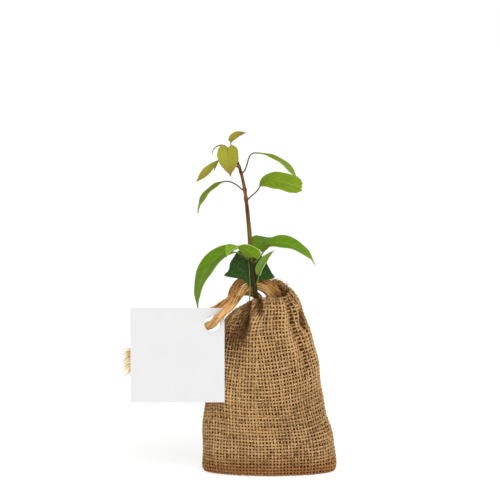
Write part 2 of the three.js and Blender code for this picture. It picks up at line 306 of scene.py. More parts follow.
def routeThrough(points, count):
    # an even walk along the smooth curve through the points
    points = np.array(points, float)
    points = np.vstack((2 * points[0] - points[1], points, 2 * points[-1] - points[-2]))
    steps = np.sqrt(np.linalg.norm(np.diff(points, axis=0), axis=1))[:, None]
    walked = []
    for i in range(1, len(points) - 2):
        p0, p1, p2, p3 = points[i - 1:i + 3]
        d0, d1, d2 = steps[i - 1:i + 2]
        t1 = ((p1 - p0) / d0 - (p2 - p0) / (d0 + d1) + (p2 - p1) / d1) * d1
        t2 = ((p2 - p1) / d1 - (p3 - p1) / (d1 + d2) + (p3 - p2) / d2) * d1
        t = np.linspace(0, 1, 40, endpoint=False)[:, None]
        walked.append(p1 + t1 * t + (3 * (p2 - p1) - 2 * t1 - t2) * t**2
                      + (2 * (p1 - p2) + t1 + t2) * t**3)
    walked = np.vstack((*walked, points[-2:-1]))
    return evenly(walked, count)


def walk(points):
    # how far along a line each of its points lies
    return np.concatenate(([0], np.cumsum(np.linalg.norm(np.diff(points, axis=0), axis=1))))


def evenly(points, count):
    far = walk(points)
    at = np.linspace(0, far[-1], count)
    return np.stack([np.interp(at, far, points[:, k]) for k in range(3)], 1)


def lengthOf(points):
    return float(np.linalg.norm(np.diff(points, axis=0), axis=1).sum())


def carriedFrames(points, first=(0, 0, 1)):
    # side and up arms that turn with a line and don't twist on it
    ahead = unit(np.gradient(points, axis=0))
    up = np.array(first, float)
    ups = []
    for way in ahead:
        up = unit(up - way * (up @ way))
        ups.append(up)
    ups = np.array(ups)
    return np.cross(ahead, ups), ups


def armAt(side, up, turn):
    # the way out at a turn round a line
    return side * np.cos(turn)[:, None] + up * np.sin(turn)[:, None]


def tubeOn(points, radiusAt, sides, arms=None):
    # a closed tube: radiusAt(turn, share along) in millimetres
    sideArms, upArms = carriedFrames(points) if arms is None else arms
    count = len(points)

    def place(share, up):
        row = up * (count + 1)
        at = np.clip(np.rint(row).astype(int) - 1, 0, count - 1)
        shut = (row < 0.5) | (row > count + 0.5)
        turn = 2 * math.pi * share
        radius = np.where(shut, 0, radiusAt(turn, at / (count - 1)))[:, None]
        return points[at] + armAt(sideArms[at], upArms[at], turn) * radius

    return shapeGrid(sides, count + 1, place)


def bundle(name, runs, sides, closed=False):
    # many thin strands in one mesh; each run gives points, side and up arms, widths and tone
    turn = 2 * math.pi * np.arange(sides) / sides
    points, faces, uvs, tones = [], [], [], []
    start = 0
    for run in runs:
        line = run["points"]
        count = len(line)
        wide, thick = run["wide"][:, None, None] / 2, run["thick"][:, None, None] / 2
        ring = (line[:, None] + run["side"][:, None] * np.cos(turn)[None, :, None] * wide
                + run["up"][:, None] * np.sin(turn)[None, :, None] * thick)
        points.append(ring.reshape(-1, 3))
        tones.append(np.repeat(run["tone"], sides))
        far = walk(line)
        rows = count if closed else count - 1
        i, s = np.meshgrid(np.arange(rows), np.arange(sides), indexing="ij")
        j, n = (i + 1) % count, (s + 1) % sides
        quads = np.stack([i * sides + s, i * sides + n, j * sides + n, j * sides + s], -1) + start
        faces.extend(quads.reshape(-1, 4).tolist())
        lift = np.append(far, far[-1] + 1)
        corner = np.stack([np.stack([s / sides, lift[i]], -1),
                           np.stack([(s + 1) / sides, lift[i]], -1),
                           np.stack([(s + 1) / sides, lift[i + 1]], -1),
                           np.stack([s / sides, lift[i + 1]], -1)], 2)
        uvs.append(corner.reshape(-1, 2))
        if not closed:
            faces.append(list(range(start + sides - 1, start - 1, -1)))
            faces.append(list(range(start + (count - 1) * sides, start + count * sides)))
            uvs.append(np.zeros((2 * sides, 2)))
        start += count * sides
    piece = meshFrom(name, points, faces)
    mesh = piece.data
    mesh.uv_layers.new(name="UVMap").data.foreach_set("uv", np.vstack(uvs).ravel())
    tone = mesh.attributes.new("tone", "FLOAT", "POINT")
    tone.data.foreach_set("value", np.concatenate(tones))
    mesh.polygons.foreach_set("use_smooth", np.ones(len(faces), bool))
    mesh.update()
    return piece


def yarnRuns(points, face, wide, thick, tone, shown=None):
    # splits a yarn where it isn't shown
    ahead = unit(np.gradient(points, axis=0))
    side = unit(np.cross(ahead, face))
    up = np.cross(side, ahead)
    run = {"points": points, "side": side, "up": up, "wide": wide, "thick": thick, "tone": tone}
    if shown is None:
        return [run]
    edges = np.flatnonzero(np.diff(np.concatenate(([0], shown.astype(int), [0]))))
    return [{key: value[a:b] for key, value in run.items()}
            for a, b in zip(edges[::2], edges[1::2]) if b - a > 5]


def fibreRun(points, first, thick, tone):
    # one loose fibre, as thick as it is wide
    side, up = carriedFrames(points, first)
    return {"points": points, "side": side, "up": up, "wide": thick, "thick": thick,
            "tone": np.full(len(points), tone)}


def wander(dice, count, length, reach):
    # a slow random walk between knots about `length` samples apart
    knots = dice.normal(0, reach, max(2, int(count / length) + 2))
    return np.interp(np.linspace(0, len(knots) - 1, count), np.arange(len(knots)), knots)


def slubs(dice, count):
    # the thick places of a hand-spun yarn
    at = np.arange(count)
    bumps = np.zeros(count)
    for place in dice.uniform(0, count, dice.poisson(count / 90)):
        bumps += dice.uniform(0.1, 0.32) * np.exp(-((at - place) / dice.uniform(3, 8)) ** 2)
    return bumps


# jute finishes
# the last colour here is painted shade: the dark seen through the weave's gaps
jute = {"light": tint(199, 160, 109), "mid": tint(148, 112, 72), "deep": tint(80, 50, 24),
        "rust": tint(134, 85, 42), "shadeBacking": tint(54, 32, 15)}
juteSkin = {"Roughness": 0.95, "Specular_IOR_Level": 0.15}
cord = {"diameter": 5.2, "plies": 3, "pitch": 26, "relief": 0.03, "lump": (9, 0.05),
        "sides": 20, "step": 0.9, "fibres": 62, "fibreWide": (0.25, 0.7), "fibreThick": 0.42,
        "swell": (9, 0.09), "drift": (16, 0.16), "stray": (12, 0.45), "loosest": 0.5,
        "uneven": (10, 0.2), "sunk": 0.14, "lay": 110, "tone": (0.62, 0.16), "fade": (8, 0.2),
        # the next three values are painted shade on the strings inside the bag's mouth: its colour,
        # the height below which and the x beyond which it falls
        "mouthShade": tint(66, 38, 18), "mouthShadeBelow": (0.128, 0.142), "mouthShadeFrom": (-0.003, 0.007)}


def looseFinish(name, shade, light, streaks, **constants):
    # loose fibres, each with its own tone
    finish = Finish(name, **constants)
    colour = finish.blend(finish.mark("tone"), shade, light)
    streak = finish.noise(finish.stretch(finish.uv(), (3.0, 0.6, 1.0)), 2.0)
    return finish.surface(finish.blend(streak.within(0.5, 0.8) * streaks, colour, shade))


def juteFinish():
    finish = Finish("juteWeave", **juteSkin)
    place = finish.place()
    # the yarns' tone: their own uneven tone with painted shade and light added to it
    tone = finish.mark("tone")
    fibre = finish.noise(finish.stretch(finish.uv(), (7.0, 1.2, 1.0)), 3.0, 4.0, 0.65)
    cloud = finish.noise(place, 26.0, 4.0, 0.6)
    stain = finish.noise(place, 55.0, 2.0, 0.5).within(0.6, 0.78)
    tone = (tone + (fibre - 0.5) * 0.8).within(-0.15, 1.0)
    colour = finish.blend(tone, jute["deep"], jute["light"])
    colour = finish.blend(0.45 - cloud * 0.5, colour, jute["mid"])
    # browner in the last 20 mm above the ground
    low = 1 - finish.part(place, "Z").within(0.001, 0.020)
    colour = finish.blend(stain * 0.3 + low * 0.75, colour, jute["rust"])
    return finish.surface(colour, None, fibre, 0.00025, 0.7)


def strandFinish(name, light, deep):
    finish = Finish(name, **juteSkin)
    tone = finish.mark("tone")
    fleck = finish.noise(finish.place(), 620.0, 4.0, 0.7).within(0.56, 0.68)
    patch = finish.noise(finish.place(), 120.0, 3.0, 0.6)
    colour = finish.blend((tone * 0.75 + patch * 0.5).within(0.1, 0.95), deep, light)
    colour = finish.blend(fleck * 0.5, colour, deep)
    # painted shade, darker where the strings go down inside the bag's mouth
    place = finish.place()
    below = 1 - finish.part(place, "Z").within(*cord["mouthShadeBelow"])
    beyond = finish.part(place, "X").within(*cord["mouthShadeFrom"])
    colour = finish.blend(below * beyond * 0.85, colour, cord["mouthShade"])
    return finish.surface(colour, None, patch + fleck * -0.5, 0.0004, 0.9)


# drawstring
tailFront = [[24, -1.4, 112.6], [18, -1, 115.2], [11.6, 0.6, 120.4], [5.7, 2.8, 126.5],
             [1.2, 4.8, 132.7], [-3.8, 7, 137.4], [-8.6, 7.6, 139.1], [-13.7, 6.8, 138.9],
             [-18.8, 4.3, 136.6], [-22.9, -1.5, 132.2], [-26, -8.4, 129.4],
             [-29.6, -13.9, 126.3], [-32.9, -16.1, 123.3], [-36.2, -16.4, 120.1],
             [-39.2, -15, 116.8], [-41.8, -12.1, 113.9], [-44.9, -9.4, 112], [-50, -7.4, 109.2],
             [-58, -7.8, 105], [-74, -9.4, 96.6], [-88, -10.6, 88.6], [-97, -11, 84.8]]
tailRear = [[-5, 5.6, 112], [-5.1, 4.9, 118.9], [-5.6, 6.3, 125.9], [-8.3, 8.5, 130.8],
            [-12.5, 10.1, 133.6], [-17.2, 10.5, 134.6], [-21.8, 9.7, 134], [-26.6, 7.1, 131.7],
            [-30.2, 4.4, 128.3], [-36.5, 2, 124.3], [-43.7, 0.4, 120.6], [-57, -2, 113.6],
            [-72, -4, 105.4], [-88, -5.6, 96.6], [-97, -6.2, 92.8]]
loopLine = [[17.6, 4.2, 120.6], [12.2, 5.8, 127.6], [6.7, 7.3, 134], [1.6, 9.5, 139.3],
            [-3.8, 12.1, 142.4], [-9.5, 14.6, 144], [-16, 15.6, 143.3], [-21.8, 15, 140.8],
            [-25.9, 14.3, 136.3], [-27.6, 13.1, 130.8], [-27.4, 11.4, 125.6]]
fray = {"length": 13, "gap": 0.3, "fibres": 58, "spread": 2.9, "root": 3.4, "inside": 0.42,
        "shortest": 0.45, "thick": 0.42, "thicks": (0.6, 1.3),
        "taper": ((0, 0.7, 1), (1, 0.8, 0.3)), "points": 9, "sway": 0.7, "curl": 0.35,
        "droop": 1.4}


def strandOn(route, seed):
    # a soft laid strand: plies wind slowly round it and its thickness wanders
    dice = np.random.default_rng(seed)
    rough = routeThrough(route, 400)
    length = lengthOf(rough)
    line = evenly(rough, int(length / cord["step"]))
    lumps = 1 + wander(dice, len(line), *cord["lump"])
    wind = 2 * math.pi * length / cord["pitch"]

    def radiusAt(turn, share):
        ply = np.cos(cord["plies"] * turn + wind * share)
        at = np.clip(np.rint(share * (len(line) - 1)).astype(int), 0, len(line) - 1)
        return cord["diameter"] / 2 * lumps[at] * (1 + cord["relief"] * ply)

    return tidyMesh(tubeOn(line, radiusAt, cord["sides"])), line, length


def strandFibres(name, line, seed):
    # the long fibres that lie round a strand, some a little loose
    dice = np.random.default_rng(seed)
    side, up = carriedFrames(line)
    count = len(line)
    wind = 2 * math.pi * lengthOf(line) / cord["lay"] * np.linspace(0, 1, count)
    thick = np.full(count, cord["fibreThick"])
    body = wander(dice, count, *cord["swell"])
    runs = []
    for k in range(cord["fibres"]):
        turn = 2 * math.pi * k / cord["fibres"] + wind + wander(dice, count, *cord["drift"])
        arm = armAt(side, up, turn)
        loose = np.abs(wander(dice, count, *cord["stray"])) ** 2 + body
        far = cord["diameter"] / 2 - cord["sunk"] + np.minimum(loose, cord["loosest"])
        wide = dice.uniform(*cord["fibreWide"]) * (1 + wander(dice, count, *cord["uneven"]))
        tone = dice.normal(*cord["tone"]) + wander(dice, count, *cord["fade"])
        runs += yarnRuns(line + arm * far[:, None], arm, wide, thick, tone)
    return bundle(name, runs, 4)


def tassel(name, route, seed):
    # the teased end of a tail: loose fibres fanning out of the strand
    dice = np.random.default_rng(seed)
    end, before = np.array(route[-1], float), np.array(route[-2], float)
    ahead = unit(end - before)
    side = unit(np.cross(ahead, (0, 0, 1)))
    up = np.cross(side, ahead)
    t = np.linspace(0, 1, fray["points"])[:, None]
    runs = []
    for _ in range(fray["fibres"]):
        turn, far = dice.uniform(0, 2 * math.pi), math.sqrt(dice.uniform())
        arm = side * math.cos(turn) + up * math.sin(turn)
        foot = end - ahead * fray["root"] + arm * far * cord["diameter"] * fray["inside"]
        reach = fray["root"] + fray["gap"] + fray["length"] * dice.uniform(fray["shortest"], 1)
        sway = side * dice.normal(0, fray["sway"]) + up * dice.normal(0, fray["sway"])
        curl = arm * dice.normal(0, fray["curl"])
        line = (foot + ahead * reach * t + arm * far * fray["spread"] * t**1.6 + sway * t**2
                + curl * np.sin(t * 7) * t - np.array((0, 0, fray["droop"])) * t**3)
        thick = np.interp(t[:, 0], *fray["taper"]) * fray["thick"] * dice.uniform(*fray["thicks"])
        runs.append(fibreRun(line, up, thick, dice.uniform(0, 1)))
    return bundle(name, runs, 4)


strandLight = strandFinish("strandFront", tint(234, 186, 120), tint(122, 80, 40))
strandBrown = strandFinish("strandRear", tint(232, 176, 106), tint(112, 70, 32))
teased = looseFinish("teasedJute", tint(218, 168, 82), tint(250, 220, 140), 0.5,
                     Roughness=0.85, Sheen_Weight=0.2)
print("making the drawstring")
strands = []
for seed, (name, route, finish, node) in enumerate((
        ("frontStrand", tailFront, strandLight, "drawstring_front"),
        ("rearStrand", tailRear, strandBrown, "drawstring_rear"),
        ("loopStrand", loopLine, strandBrown, "drawstring_loop")), 3):
    strand, line, length = strandOn(route, seed)
    strands.append((dress(strand, name, finish, [node]), line, length, finish))
frontStrand, frontLine, frontLength, _ = strands[0]
rearStrand, rearLine, rearLength, _ = strands[1]
loopStrand, slackLine, loopLength, _ = strands[2]
frontTassel = tassel("frontTassel", tailFront, 11)
dress(frontTassel, "frontTassel", teased, ["fray_front"])
rearTassel = tassel("rearTassel", tailRear, 12)
dress(rearTassel, "rearTassel", teased, ["fray_rear"])
card = nodes["card"]
frontLine[0] * mm
frontLength * mm
frontLine * mm
rearLine[0] * mm
rearLength * mm
rearLine * mm
slackLine[0] * mm
loopLength * mm
slackLine * mm
for seed, (strand, line, _, finish) in enumerate(strands, 13):
    name = strand.name + "Fibres"
    dress(strandFibres(name, line, seed), name, finish)


# the bag's cloth
bag = {"pitchAcross": 2.45, "rows": 51, "skin": 0.6, "roll": 0.6, "hemRows": 13,
       "hemPitch": 2.5, "swing": 0.42, "yarnWide": 1.5, "yarnThick": 1.05, "yarnSides": 5,
       "stepsAcross": 3, "stepsUp": 3, "tuck": 1.0, "creaseDeep": 1.2, "creaseWide": 2.6,
       # shade sets how much painted shade falls in the folds' hollows and painted light on their
       # crests
       "gather": 0.5, "gatherDown": 40, "rumple": 0.45, "shade": 0.08,
       # painted shade behind the weave's gaps: the hem's turned-in yarns and a dark sheet; their
       # width, tone, mesh, inset and thickness follow
       "shadeBackingWide": 2.3, "shadeBackingTone": -0.3, "shadeBackingAround": 320, "shadeBackingUp": 90, "shadeBackingIn": 0.75,
       "shadeBackingThick": 0.12, "ridge": 0.18, "soilTop": 101, "soilClear": 1.1, "soilFade": 12,
       "sag": 2.2, "askew": 1.6, "waver": 0.8, "shoulder": 3.4, "shoulderAt": 209,
       "shoulderWide": 14, "facing": 1.5, "hemFrom": 1.5, "warpDrift": (14, 0.14),
       "weftDrift": (16, 0.06), "warpTone": 0.52, "weftTone": 0.48, "uneven": (4, 0.09),
       "fade": (4, 0.16), "apart": 0.04, "levels": 61, "cutLevel": 12, "squeeze": (0.93, 1.06)}
# folds of the front, and further down those of the back: [x, z] along each, half width, how
# far it stands out
foldsFront = [([[-15.2, 131], [-16.7, 120.4], [-16.5, 112.8], [-19.5, 104.6], [-26, 93],
                [-33, 84]], 2.5, -4.6),
              ([[-21, 113], [-24, 104], [-31, 93]], 4.6, -2.4),
              ([[-24, 122], [-26, 113], [-30, 106]], 3.0, 1.0),
              ([[-11.4, 130], [-11.8, 118], [-13.5, 108], [-17, 98]], 2.8, 1.7),
              ([[-6.7, 131], [-5.9, 124.9], [-7.8, 117]], 2.0, -3.6),
              ([[-1.6, 131], [-1, 120], [-2, 108]], 2.8, 1.2),
              ([[9.6, 132], [11.1, 116.6], [12.5, 104], [17.5, 92], [23, 80]], 2.8, 1.9),
              ([[15.6, 132], [16.6, 120], [17, 106]], 2.4, -2.6),
              ([[20.6, 128], [20.8, 114]], 2.4, 1.0),
              ([[24.2, 122], [25, 114], [26.5, 106]], 2.2, -5.0),
              ([[20, 110], [24.5, 98], [30, 82]], 2.6, -1.8),
              ([[13.4, 107], [20.5, 111.5]], 1.8, 0.9),
              ([[-40, 62], [-22, 54], [-4, 52]], 7, 0.7),
              ([[8, 70], [26, 56], [40, 36]], 7, -0.8)]
# painted shade and painted light on the front: shade in creases, the notch and at the foot, light
# on crests: [x, z] along each, half width, how much lighter
paintedShadesFront = [([[-17, 126], [-18, 112], [-23, 101], [-30, 90]], 4.5, -0.48),
               ([[-25, 112], [-30, 103], [-36, 96]], 6.5, -0.24),
               ([[-32, 92], [-38, 70]], 7, -0.12),
               ([[-11.5, 126], [-12.5, 108]], 2.6, 0.2),
               ([[10.6, 128], [12.5, 104], [20, 84]], 2.6, 0.2),
               ([[16, 130], [17, 108]], 2.2, -0.12),
               ([[4.4, 130], [4.8, 116]], 2.4, -0.16),
               ([[24.6, 121], [26.5, 106]], 2.4, -0.35),
               ([[23.2, 121.5], [23.8, 117.5], [25, 113.5], [26, 109]], 1.7, -0.9),
               ([[21, 107], [26, 94], [31, 78]], 2.4, -0.08),
               ([[-6.4, 129], [-7, 119]], 2.2, -0.28),
               ([[-40, 5], [-10, 8], [20, 5], [60, 4]], 6, -0.3),
               ([[22, 44], [30, 26], [44, 10]], 13, -0.15),
               ([[19, 126], [20, 116], [24, 98], [30, 80]], 4.6, 0.24)]
# packed places of the front: [x, z] along each, half width, how much thinner the yarns are
thinsFront = [([[-22, 128], [-26, 110], [-33, 92], [-36, 80]], 9, 0.36),
              ([[-9, 132], [-10, 118]], 5, 0.3)]
foldsBack = [([[14, 136], [15, 118], [19, 100], [26, 84]], 2.6, -3.4),
             ([[4, 138], [3, 122], [5, 108]], 2.4, 1.4),
             ([[-8, 134], [-8, 116], [-12, 98], [-18, 86]], 2.6, -3.0),
             ([[-18, 124], [-21, 108], [-27, 92]], 2.8, 1.4),
             ([[24, 120], [29, 100]], 2.4, -1.8),
             ([[-36, 50], [-10, 44], [14, 52]], 8, 0.8)]
# the bag's outline: [z, x] of its left and right sides, [z, half depth], and [angle, z] of its rim
bagLeft = [[0, -47], [2, -49.4], [7, -50.2], [35, -48.9], [60, -47.2], [90, -42.6],
           [107, -38], [116, -32], [123, -24.6], [131, -19], [144, -13]]
bagRight = [[0, 47], [2, 49.6], [7, 50.3], [25, 48.8], [42, 43.9], [60, 39.6], [85, 36],
            [100, 32.8], [114, 28.2], [127, 23.6], [135.5, 18.8], [144, 12]]
bagDepth = [[0, 17], [2, 19.4], [8, 21.2], [40, 21.6], [70, 20.6], [95, 19], [112, 17.2],
            [127, 15.6], [144, 14]]
bagRim = [[0, 137.5], [55, 142.5], [84, 140.5], [99, 129.6], [118, 128], [140, 126.5],
          [168, 123], [195, 122.5], [224, 130.5], [265, 133], [310, 133.5], [360, 137.5]]
# gathers: angle at the rim, drift on the way down, depth, half width in degrees, foot height
bagPleats = [(28, -6, 2.6, 8, 92), (58, -8, 2.2, 8, 80), (118, 4, 2.4, 9, 86),
             (150, 8, 2.4, 8, 98), (238, 6, 4.6, 8, 88), (262, 2, 2.6, 6, 116),
             (300, 26, 2.4, 8, 70), (338, 4, 2.2, 7, 100)]


def pleatDent(angle, height, sharp=0.0):
    rim = along(bagRim, angle % 360)
    dent = 0
    for at, drift, deep, wide, foot in bagPleats:
        down = np.clip((rim - height) / (rim - foot), 0, 1)
        off = (angle - at - drift * down + 180) % 360 - 180
        fade = np.cos(down * math.pi / 2)
        dent = dent + deep * fade * np.exp(-((off / wide) ** 2))
        dent = dent + sharp * fade * np.exp(-((off / bag["creaseWide"]) ** 2))
    return dent


def clothPoint(angle, height, inset, sharp=0.0):
    # points of the cloth and the way out of it
    left, right = along(bagLeft, height), along(bagRight, height)
    depth = along(bagDepth, height)

    def rim(degrees):
        turn = np.radians(degrees)
        return np.stack([(left + right) / 2 + (right - left) / 2 * np.cos(turn),
                         depth * np.sin(turn)], -1)

    step = rim(angle + 0.5) - rim(angle - 0.5)
    out = unit(np.stack([step[..., 1], -step[..., 0]], -1))
    flat = rim(angle) - out * (inset + pleatDent(angle, height, sharp))[..., None]
    zero = np.zeros_like(flat[..., :1])
    return (np.concatenate([flat, zero + np.asarray(height)[..., None]], -1),
            np.concatenate([out, zero], -1))


def stroke(x, z, line, wide):
    # 1 on a line, 0 far from it; it fades out over the last part of the line
    best = np.full(np.shape(x), 1e9)
    share = np.zeros(np.shape(x))
    for i, ((ax, az), (bx, bz)) in enumerate(zip(line[:-1], line[1:])):
        wayX, wayZ = bx - ax, bz - az
        t = np.clip(((x - ax) * wayX + (z - az) * wayZ) / (wayX**2 + wayZ**2), 0, 1)
        far = np.hypot(x - ax - t * wayX, z - az - t * wayZ)
        share = np.where(far < best, (i + t) / (len(line) - 1), share)
        best = np.minimum(best, far)
    fade = np.clip((1 - share) * 2.2, 0, 1)
    return np.exp(-(best / wide) ** 2) * fade * fade * (3 - 2 * fade)


def strokes(rows, point, out, sign=-1):
    # what a list of strokes adds up to on the side that faces sign * Y
    facing = np.clip(out[..., 1] * sign * bag["facing"], 0, 1)
    return sum(deep * facing * stroke(point[..., 0], point[..., 2], line, wide)
               for line, wide, deep in rows)


def foldLift(angle, point, out):
    # the listed folds, fine gathers under the mouth and a slight rumple lower down
    x, z = point[..., 0], point[..., 2]
    lift = strokes(foldsFront, point, out) + strokes(foldsBack, point, out, 1)
    # the soil below its top keeps the cloth out
    above = np.clip((z - bag["soilTop"]) / bag["soilFade"], 0, 1)
    most = bag["soilClear"] + 12 * above
    lift = np.where(lift < 0, -most * np.tanh(-lift / most), lift)
    turn = np.radians(angle)
    near = np.clip(1 - (rimTop(angle) - z) / bag["gatherDown"], 0, 1) ** 1.5
    gathers = np.sin(turn * 21 + 1.3 + z * 0.05) + 0.6 * np.sin(turn * 34 + 0.4 - z * 0.04)
    rumple = np.sin(x * 0.17 + z * 0.1) + 0.7 * np.sin(x * 0.26 - z * 0.19 + 2)
    low = np.clip(z / 12, 0, 1)
    loose = 0.4 + 0.6 * above
    return lift + bag["gather"] * gathers * near * loose + bag["rumple"] * rumple * low


def rimTop(angle):
    # the left shoulder is pulled up a little by the string
    off = (angle - bag["shoulderAt"] + 180) % 360 - 180
    shoulder = bag["shoulder"] * np.exp(-((off / bag["shoulderWide"]) ** 2))
    return along(bagRim, angle % 360) - bag["roll"] + shoulder


def sagAt(angle, share):
    # the rows hang lower in front and run askew towards the left foot; the rim and foot stay put
    turn = np.radians(angle)
    held = np.sin(math.pi * np.clip(share, 0, 1)) * np.clip(share * 6, 0, 1)
    waver = bag["sag"] * np.sin(turn) + bag["askew"] * np.cos(2 * turn + 0.6)
    return held * (waver + bag["waver"] * np.sin(3 * turn + share * 5))


def clothAt(angle, row, lift, sharp):
    # a point of the cloth by its row, over the rim and down the inner side of the hem
    top = rimTop(angle)
    over = math.pi * bag["roll"] / bag["hemPitch"]
    turn = np.clip((row - bag["rows"]) / over, 0, 1) * math.pi
    down = np.maximum(row - bag["rows"] - over, 0) * bag["hemPitch"]
    share = np.minimum(row / bag["rows"], 1)
    height = top * share + bag["roll"] * np.sin(turn) - down + sagAt(angle, share)
    inset = bag["skin"] + bag["roll"] * (1 - np.cos(turn)) - lift * np.cos(turn)
    point, out = clothPoint(angle, height, inset, sharp)
    fold = foldLift(angle, point, out)
    upward = np.zeros_like(out)
    upward[..., 2] = 1
    face = out * np.cos(turn)[..., None] + upward * np.sin(turn)[..., None]
    point = point + upward * (lift * np.sin(turn))[..., None] + out * fold[..., None]
    # painted shade in the folds' hollows and painted light on their crests, and the front's strokes
    # of painted shade and light
    tone = bag["shade"] * (fold - pleatDent(angle, height)) + strokes(paintedShadesFront, point, out)
    return point, face, tone


class Weave:
    # where each yarn of the gathered cloth runs; what doesn't fit round is lost in the pleats
    def __init__(self):
        self.angles = np.linspace(-30, 390, 1681)
        self.shares = np.linspace(0, 1, bag["levels"])
        a, s = np.meshgrid(self.angles, self.shares)
        height = rimTop(a) * s
        points = clothPoint(a, height, bag["skin"] + 0 * a)[0]
        steps = np.linalg.norm(np.diff(points, axis=1), axis=2)
        self.far = np.concatenate([np.zeros((len(self.shares), 1)), np.cumsum(steps, 1)], 1)
        edges = []
        for at, drift, *_, foot in bagPleats:
            rim = along(bagRim, at)
            down = np.clip((rim - rimTop(np.array(at)) * self.shares) / (rim - foot), 0, 1)
            edges.append(at + drift * down)
        edges.append(edges[0] + 360)
        edges = np.array(edges)
        self.edge = np.array([[np.interp(e, self.angles, far) for e, far in zip(row, self.far)]
                              for row in edges])
        self.room = np.diff(self.edge, axis=0)
        self.middle = (self.edge[1:] + self.edge[:-1]) / 2
        # the level where the cloth is cut to fit
        self.cut = self.room[:, bag["cutLevel"]]
        whole = self.cut.sum()
        self.count = int(round(whole / bag["pitchAcross"] / 2)) * 2
        self.pitch = whole / self.count
        self.start = np.concatenate([[0], np.cumsum(self.cut)])
        self.squeeze = np.clip(self.room / self.cut[:, None], *bag["squeeze"])

    def shared(self, share, rows):
        # the value of each row of numbers at one share of the height
        return np.array([np.interp(share, self.shares, row) for row in rows])

    def warpAngles(self, offset, panel, share):
        # angle of a yarn at each share, and whether it shows there
        room = np.interp(share, self.shares, self.room[panel])
        middle = np.interp(share, self.shares, self.middle[panel])
        reach = offset * np.interp(share, self.shares, self.squeeze[panel])
        shown = np.abs(reach) <= np.maximum(room / 2 + bag["tuck"], 0)
        row = np.clip(share, 0, 1) * (len(self.shares) - 1)
        low = np.clip(np.floor(row).astype(int), 0, len(self.shares) - 2)
        blend = row - low
        at = middle + np.clip(reach, -room / 2 - bag["tuck"], room / 2 + bag["tuck"])
        first, second = (np.array([np.interp(x, self.far[i], self.angles)
                                   for x, i in zip(at, low + step)]) for step in (0, 1))
        return first * (1 - blend) + second * blend, shown

    def weftAcross(self, share, angles):
        # the cloth's own measure at each angle of one row
        far = self.shared(share, self.far.T[np.searchsorted(self.angles, angles)])
        middle, edge = self.shared(share, self.middle), self.shared(share, self.edge)
        whole = edge[-1] - edge[0]
        far = (far - edge[0]) % whole + edge[0]
        panel = np.clip(np.searchsorted(edge, far, side="right") - 1, 0, len(middle) - 1)
        squeeze = self.shared(share, self.squeeze)[panel]
        own = (self.start[panel] + self.start[panel + 1]) / 2 + (far - middle[panel]) / squeeze
        return own, panel


def spin(dice, plain, point, face, shade, lift):
    # thickness and tone along one yarn: slubs, packed places, the painted shade it is given,
    # painted light on its crowns and painted shade where it dives under
    count = len(point)
    swell = 1 + wander(dice, count, *bag["uneven"]) + dice.normal(0, bag["apart"])
    swell = swell + slubs(dice, count)
    swell = swell * (1 - strokes(thinsFront, point, face))
    tone = plain + wander(dice, count, *bag["fade"]) + dice.normal(0, bag["apart"]) + shade
    return swell, tone + bag["ridge"] * lift / bag["swing"]


def makeWarps(weave):
    dice = np.random.default_rng(21)
    top = bag["rows"] + math.pi * bag["roll"] / bag["hemPitch"] + bag["hemRows"]
    rows = np.linspace(0.4, top, int(top * bag["stepsUp"]))
    share = np.minimum(rows / bag["rows"], 1)
    runs = []
    for k in range(weave.count):
        own = (k + 0.5) * weave.pitch
        panel = min(int(np.searchsorted(weave.start, own, side="right")) - 1, len(weave.cut) - 1)
        offset = own - (weave.start[panel] + weave.start[panel + 1]) / 2
        drift = wander(dice, len(rows), *bag["warpDrift"])
        # the turned-in layer lies half a yarn aside
        aside = np.clip(rows - bag["rows"] - 1, 0, 1) * weave.pitch / 2
        angle, shown = weave.warpAngles(offset + drift + aside, panel, share)
        lift = bag["swing"] * np.cos(math.pi * (rows - 0.5 - k))
        point, face, shade = clothAt(angle, rows, lift, bag["creaseDeep"])
        swell, tone = spin(dice, bag["warpTone"], point, face, shade, lift)
        # the turned-in hem's yarns are widened and darkened to painted shade behind the weave's
        # gaps
        inside = rows > bag["rows"] + bag["hemFrom"]
        wide = np.where(inside, bag["shadeBackingWide"], bag["yarnWide"] * swell)
        tone = np.where(inside, bag["shadeBackingTone"], tone)
        runs += yarnRuns(point, face, wide, bag["yarnThick"] * swell**0.5, tone, shown)
    return bundle("warpYarns", runs, bag["yarnSides"])


def makeWefts(weave):
    dice = np.random.default_rng(22)
    over = math.pi * bag["roll"] / bag["hemPitch"]
    rows = [j + 0.5 for j in range(bag["rows"])] + [bag["rows"] + over / 2]
    rows += [bag["rows"] + over + j + 1 for j in range(bag["hemRows"])]
    runs = []
    count = weave.count * bag["stepsAcross"]
    angles = np.arange(count) / count * 360
    for j, row in enumerate(rows):
        share = min(row / bag["rows"], 1)
        own, panel = weave.weftAcross(share, angles)
        lift = -bag["swing"] * np.cos(math.pi * (own / weave.pitch - 0.5 - (row - 0.5)))
        waver = wander(dice, count + 1, *bag["weftDrift"])
        waver = (waver - np.linspace(waver[0], waver[-1], count + 1))[:-1]
        point, face, shade = clothAt(angles, row + waver, lift, bag["creaseDeep"])
        swell, tone = spin(dice, bag["weftTone"], point, face, shade, lift)
        wide = bag["yarnWide"] * swell
        # the turned-in hem's yarns are widened and darkened to painted shade behind the weave's
        # gaps
        if row > bag["rows"] + bag["hemFrom"]:
            wide, tone = np.full(count, bag["shadeBackingWide"]), np.full(count, bag["shadeBackingTone"])
        runs += yarnRuns(point, face, wide, bag["yarnThick"] * swell**0.5, tone)
    return bundle("weftYarns", runs, bag["yarnSides"], closed=True)


